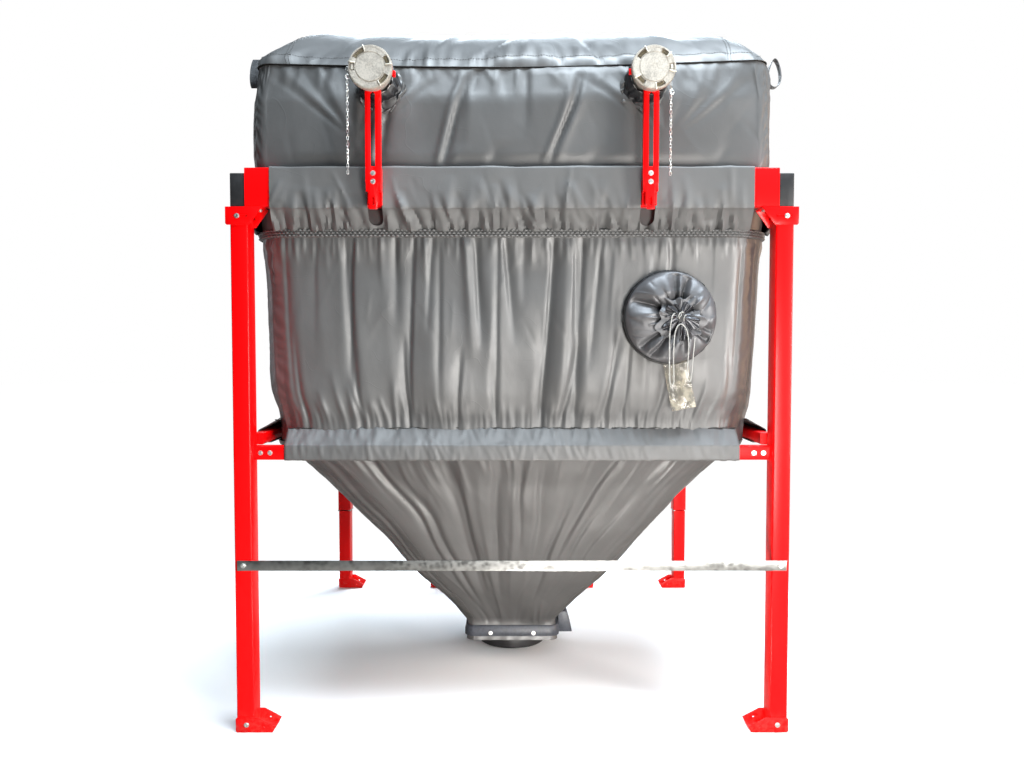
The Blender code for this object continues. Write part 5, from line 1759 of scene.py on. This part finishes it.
def make_port(sizes):
    """The port: a cloth rim on the wall and a cover drawn together by its cord."""
    rng = np.random.default_rng(97)
    bend = np.arange(288) / 288 * math.tau
    rim_front = PORT_HIGH.y

    def ring(radius, y, shift=0.0):
        return face_ring(bend, PORT_X + shift, y, PORT_Z, radius)

    rim_folds = scattered(rng, 40, math.tau, (0.2, 0.8), (0.5, 1.2), (0.03, 0.07), (-0.0015, 0.003),
                          (-0.2, 0.2))
    rows = []
    for share in np.linspace(-0.4, 1, 18):
        swell = 0.003 * math.sin(math.pi * max(share, 0))
        radius = PORT_RADIUS - 0.003 + swell + fold_field(bend, share, rim_folds, math.tau)
        rows.append(ring(radius, PORT_WALL + (rim_front - PORT_WALL) * share))
    rim = polar_sheet("sewn_port_rim", rows)
    finish_piece(rim, "black_cloth", ["port_rim"])
    welt = ring_tube("port_welt", ring(PORT_RADIUS + 0.0005, PORT_WALL - 0.005)[::3], 0.0035)
    finish_piece(welt, "piping")

    depth = rim_front - PORT_LOW.y
    folds = fold_rows(
        rng, math.tau, 1.0,
        (7, (0.50, 0.62), (0.50, 0.62), (0.07, 0.12), (-0.034, -0.024), (-0.35, 0.35), 0.8),
        (8, (0.55, 0.70), (0.40, 0.55), (0.16, 0.28), (0.006, 0.014), (-0.7, 0.7), 0.8),
        (18, (0.30, 0.45), (0.20, 0.40), (0.03, 0.05), (-0.018, 0.010), (-0.6, 0.6), 0.6),
        (26, (0.80, 0.95), (0.15, 0.30), (0.03, 0.08), (-0.007, 0.005), (-1.0, 1.0), 0.6),
    )
    rows = []
    for share in np.concatenate([np.linspace(1, 0.20, 52), np.linspace(0.19, 0.06, 8)]):
        radius = (PORT_RADIUS - 0.003) * share
        dome = (depth - 0.015) * (1 - share ** 3.2) ** 0.6
        throat = ramp(0.60 - share, 0.34)
        throat = throat * throat * (3 - 2 * throat)
        shape = dome * (1 - 0.7 * throat)
        shape += fold_field(bend, share, folds, math.tau) * ramp(1 - share, 0.08)
        shape = np.clip(shape, -0.004, depth - 0.002)
        rows.append(ring(radius, rim_front - shape, KNOT_SHIFT * (1 - share)))
    cover = polar_sheet("gathered_cover", rows)
    finish_piece(cover, "port_cloth", ["port_cover"])

    # The cover's mouth comes out of the knot as two ruffled frills
    for name, (start, end, waves, narrow, lift, look) in FRILLS.items():
        ruffles = scattered(rng, waves, math.tau, (0.9, 1.1), (0.7, 1.1), (narrow, 2 * narrow),
                            (-0.030, 0.014), (-0.3, 0.3), 0.5)
        edge = 1 + 0.15 * np.cos(5 * bend + 1.0) + 0.10 * np.cos(11 * bend + waves)
        rows = []
        for share in np.linspace(0, 1, 15):
            radius = start + (end - start) * share ** 0.8 * edge
            shape = depth - lift - 0.002 * share + fold_field(bend, share, ruffles, math.tau)
            rows.append(ring(radius, rim_front - np.clip(shape, 0.35 * depth, depth + 0.004), KNOT_SHIFT)
                        - np.array((0, 0, 0.012 * share)))
        frill = polar_sheet(f"{name}_cover_frill", rows, flip=True)
        modified(frill, "SOLIDIFY", thickness=0.0012, offset=0)
        finish_piece(frill, look)
    knot = (PORT_X + KNOT_SHIFT, rim_front - depth + 0.004, PORT_Z)
    plug = disc("cover_knot", 0.017, 0.010, 24)
    stepped(plug, ((0.005, 0.003), (0.005, -0.001)))
    plug = smooth(moved(plug, facing_front(knot[0], knot[1] + 0.008, knot[2])))
    finish_piece(plug, "black_cloth")
    for index, (x, z, size, tilt) in enumerate(KNOT_TURNS):
        wrap = round_bar_ring(f"cord_wrap_{index + 1}", size, 0.0016, 30)
        place = Matrix.Translation((knot[0] + x, knot[1] - 0.002 * (index > 0), knot[2] + z))
        moved(wrap, place @ Matrix.Rotation(tilt * 0.5, 4, "X") @ Matrix.Rotation(tilt, 4, "Z"))
        finish_piece(smooth(wrap), "cord")


def make_pouch(sizes):
    """The clear document pouch under the port, a little crumpled."""
    low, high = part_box("document_pouch")
    rng = np.random.default_rng(101)
    lean = math.radians(11)
    width, height = 0.085, 0.165
    across, down = np.meshgrid(np.linspace(-width / 2, width / 2, 26), np.linspace(0, -height, 44))
    local = np.stack([across, np.zeros_like(across), down], -1)
    curl = 0.006 * drift(rng, local, 0.09) + 0.010 * (down / height) ** 2
    y = (low.y + high.y) / 2 - curl
    middle = ((low.x + high.x) / 2, (low.z + high.z) / 2)
    centred = down + height / 2
    x = middle[0] + across * math.cos(lean) - centred * math.sin(lean)
    z = middle[1] + across * math.sin(lean) + centred * math.cos(lean)
    points = np.stack([x, y, z], -1)
    pouch = sheet_mesh("clear_pouch", points, np.stack([across, down], -1))
    modified(pouch, "SOLIDIFY", thickness=0.0004, offset=0)
    finish_piece(pouch, "film", ["document_pouch"])


def smooth_route(points, spacing):
    """Even steps along a smooth curve through the points."""
    fine = []
    for index in range(len(points) - 1):
        before, start = points[max(index - 1, 0)], points[index]
        end, after = points[index + 1], points[min(index + 2, len(points) - 1)]
        for t in (step / 20 for step in range(20)):
            square = 2 * before - 5 * start + 4 * end - after
            cube = 3 * start - before - 3 * end + after
            fine.append(0.5 * (2 * start + (end - before) * t + square * t * t + cube * t ** 3))
    fine.append(points[-1])
    line = np.array(fine)
    walked = walk(line)
    along = np.linspace(0, walked[-1], round(walked[-1] / spacing) + 1)
    return on_line(along, walked, line), walked[-1]


def make_drawstring(sizes):
    """The cord that draws the cover together: two bights hang in front of the port."""
    points = [Vector((PORT_X + x, STRING_HANG + y, PORT_Z + z)) for x, y, z in STRING_ROUTE]
    route, length = smooth_route(points, 0.006)
    curve = bpy.data.curves.new("braided_drawstring", "CURVE")
    curve.dimensions = "3D"
    curve.bevel_depth = STRING_RADIUS
    curve.bevel_resolution = 3
    curve.use_fill_caps = True
    spline = curve.splines.new("POLY")
    spline.points.add(len(route) - 1)
    for spot, point in zip(spline.points, route):
        spot.co = (*point, 1.0)
    cord = linked("braided_drawstring", curve)
    finish_piece(cord, "cord", ["drawstring"])


# Outlet


def make_outlet(sizes):
    """The outlet's clamp, plate, round spout and hose hood."""
    remade_as("outlet_clamp", "outlet_angle_clamp", 0.0012, "dark_steel")
    remade_as("outlet_plate", "outlet_base_plate", 0.0010, "dark_steel")
    remade_as("outlet_spout", "outlet_round_spout", 0.0015, "plastic")
    remade_as("hose_hood", "hose_outlet_hood", 0.0020, "dark_steel")


# What a user may change


def size_of(name, description, default, least):
    """A length that the user may set."""
    return bpy.props.FloatProperty(name=name, description=description, default=default, min=least,
                                   unit="LENGTH")


def colour_of(name, description, default):
    """A colour that the user may set."""
    return bpy.props.FloatVectorProperty(name=name, description=description, subtype="COLOR", default=default,
                                         min=0, max=1)


def share_of(name, description, default):
    """A share from 0 to 1 that the user may set."""
    return bpy.props.FloatProperty(name=name, description=description, subtype="FACTOR", default=default,
                                   min=0, max=1)


class SiloSizes(bpy.types.PropertyGroup):
    """The sizes that a user may change"""
    fold_depth: size_of("Fold depth", "How deep the bag's folds are", 0.0082, 0.0)
    cloth_thickness: size_of("Cloth thickness", "Thickness of the sleeves' cloth", 0.0014, 0.0005)
    tube_radius: size_of("Tube radius", "Radius of the steel tubes' edges", 0.005, 0.001)
    piping_radius: size_of("Piping radius", "Radius of the welts along the seams", 0.0018, 0.0005)
    stitch_pitch: size_of("Stitch pitch", "Distance from one stitch to the next", 0.0075, 0.002)
    bolt_head: size_of("Bolt head", "Radius of a bolt's head", 0.0068, 0.003)
    bolt_washer: size_of("Washer", "Radius of a bolt's washer", 0.0088, 0.004)


class SiloColours(bpy.types.PropertyGroup):
    """The colours and finishes that a user may change"""
    paint: colour_of("Paint", "The frame's powder coat", (0.92, 0.001, 0.002))
    cloth: colour_of("Cloth", "The bag's cloth", (0.131, 0.130, 0.129))
    black_cloth: colour_of("Black cloth", "The necks' and the port rim's cloth", (0.016, 0.016, 0.018))
    steel: colour_of("Steel", "Bolts, chains and the tie bar", (0.62, 0.62, 0.60))
    cast: colour_of("Cast alloy", "The caps and couplings", (0.56, 0.515, 0.45))
    cord: colour_of("Cord", "The drawstring and ties", (0.46, 0.45, 0.42))
    paint_roughness: share_of("Paint roughness", "Roughness of the powder coat", 0.30)
    cloth_roughness: share_of("Cloth roughness", "Roughness of the bag's cloth", 0.47)
    cloth_sheen: share_of("Cloth sheen", "How silvery the bag's coating is", 0.34)


class SiloStep(bpy.types.Operator):
    """One step of the silo's making. Every maker is given the sizes, also where it needs none"""
    bl_idname = "silo.step"
    bl_label = "Step"
    makers = ()

    def execute(self, context):
        if not MATERIALS:
            make_materials(context.scene.silo_colours)
        for make in self.makers:
            make(context.scene.silo_sizes)
        return {"FINISHED"}


class SILO_OT_stage(bpy.types.Operator):
    """Set up the camera, the lights and the floor"""
    bl_idname = "silo.stage"
    bl_label = "Stage"

    def execute(self, context):
        context.scene.view_settings.view_transform = "Standard"
        make_camera()
        make_floor()
        make_world()
        make_lights()
        return {"FINISHED"}


class SILO_OT_cords(SiloStep):
    """Hang the caps' chains and the port's drawstring"""
    bl_idname = "silo.cords"
    bl_label = "Chains and drawstring"
    makers = (make_chains, make_drawstring)


class SILO_OT_frame(SiloStep):
    """Build the posts, shoes, brackets, rails, props and tie bar"""
    bl_idname = "silo.frame"
    bl_label = "Steel frame"
    makers = (make_posts, make_shoes, make_brackets, make_rails, make_props, make_tie_bar)


class SILO_OT_bolts(SiloStep):
    """Add the zinc plated bolts"""
    bl_idname = "silo.bolts"
    bl_label = "Bolts"
    makers = (make_bolts,)


class SILO_OT_bag(SiloStep):
    """Sew the bag's walls, top, hem and piping"""
    bl_idname = "silo.bag"
    bl_label = "Bag"
    makers = (make_lower_wall, make_upper_wall, make_top, make_piping, make_hem, make_stitches, make_loops)


class SILO_OT_hopper(SiloStep):
    """Sew the hopper"""
    bl_idname = "silo.hopper"
    bl_label = "Hopper"
    makers = (make_hopper,)


class SILO_OT_sleeves(SiloStep):
    """Draw the sleeves over the upper and lower rails"""
    bl_idname = "silo.sleeves"
    bl_label = "Sleeves"
    makers = (make_upper_sleeves, make_lower_sleeves)


class SILO_OT_filling(SiloStep):
    """Build the filling pipes with their necks, caps and arms"""
    bl_idname = "silo.filling"
    bl_label = "Filling pipes"
    makers = (make_pipes, make_necks, make_caps, make_arms)


class SILO_OT_port(SiloStep):
    """Sew the inspection port and hang its pouch"""
    bl_idname = "silo.port"
    bl_label = "Inspection port"
    makers = (make_port, make_pouch)


class SILO_OT_outlet(SiloStep):
    """Build the outlet's clamp, plate, spout and hood"""
    bl_idname = "silo.outlet"
    bl_label = "Outlet"
    makers = (make_outlet,)


STEPS = (SILO_OT_stage, SILO_OT_cords, SILO_OT_frame, SILO_OT_bolts, SILO_OT_bag, SILO_OT_hopper,
         SILO_OT_sleeves, SILO_OT_filling, SILO_OT_port, SILO_OT_outlet)


class SILO_PT_panel(bpy.types.Panel):
    """The silo's sizes, colours and steps"""
    bl_idname = "SILO_PT_panel"
    bl_label = "Fabric pellet silo"
    bl_space_type = "VIEW_3D"
    bl_region_type = "UI"
    bl_category = "Silo"

    def draw(self, context):
        for group in (context.scene.silo_sizes, context.scene.silo_colours):
            for name in group.__annotations__:
                self.layout.prop(group, name)
        for step in STEPS:
            self.layout.operator(step.bl_idname)


CLASSES = (SiloSizes, SiloColours, *STEPS, SILO_PT_panel)


def register():
    """Register the classes, and hang the sizes and colours on the scene."""
    for one in CLASSES:
        bpy.utils.register_class(one)
    bpy.types.Scene.silo_sizes = bpy.props.PointerProperty(type=SiloSizes)
    bpy.types.Scene.silo_colours = bpy.props.PointerProperty(type=SiloColours)


def unregister():
    """Undo what register did."""
    del bpy.types.Scene.silo_colours
    del bpy.types.Scene.silo_sizes
    for one in reversed(CLASSES):
        bpy.utils.unregister_class(one)


def main():
    """Make the silo step by step."""
    register()
    for step in STEPS:
        group, name = step.bl_idname.split(".")
        getattr(getattr(bpy.ops, group), name)()


if __name__ == "__main__":
    main()
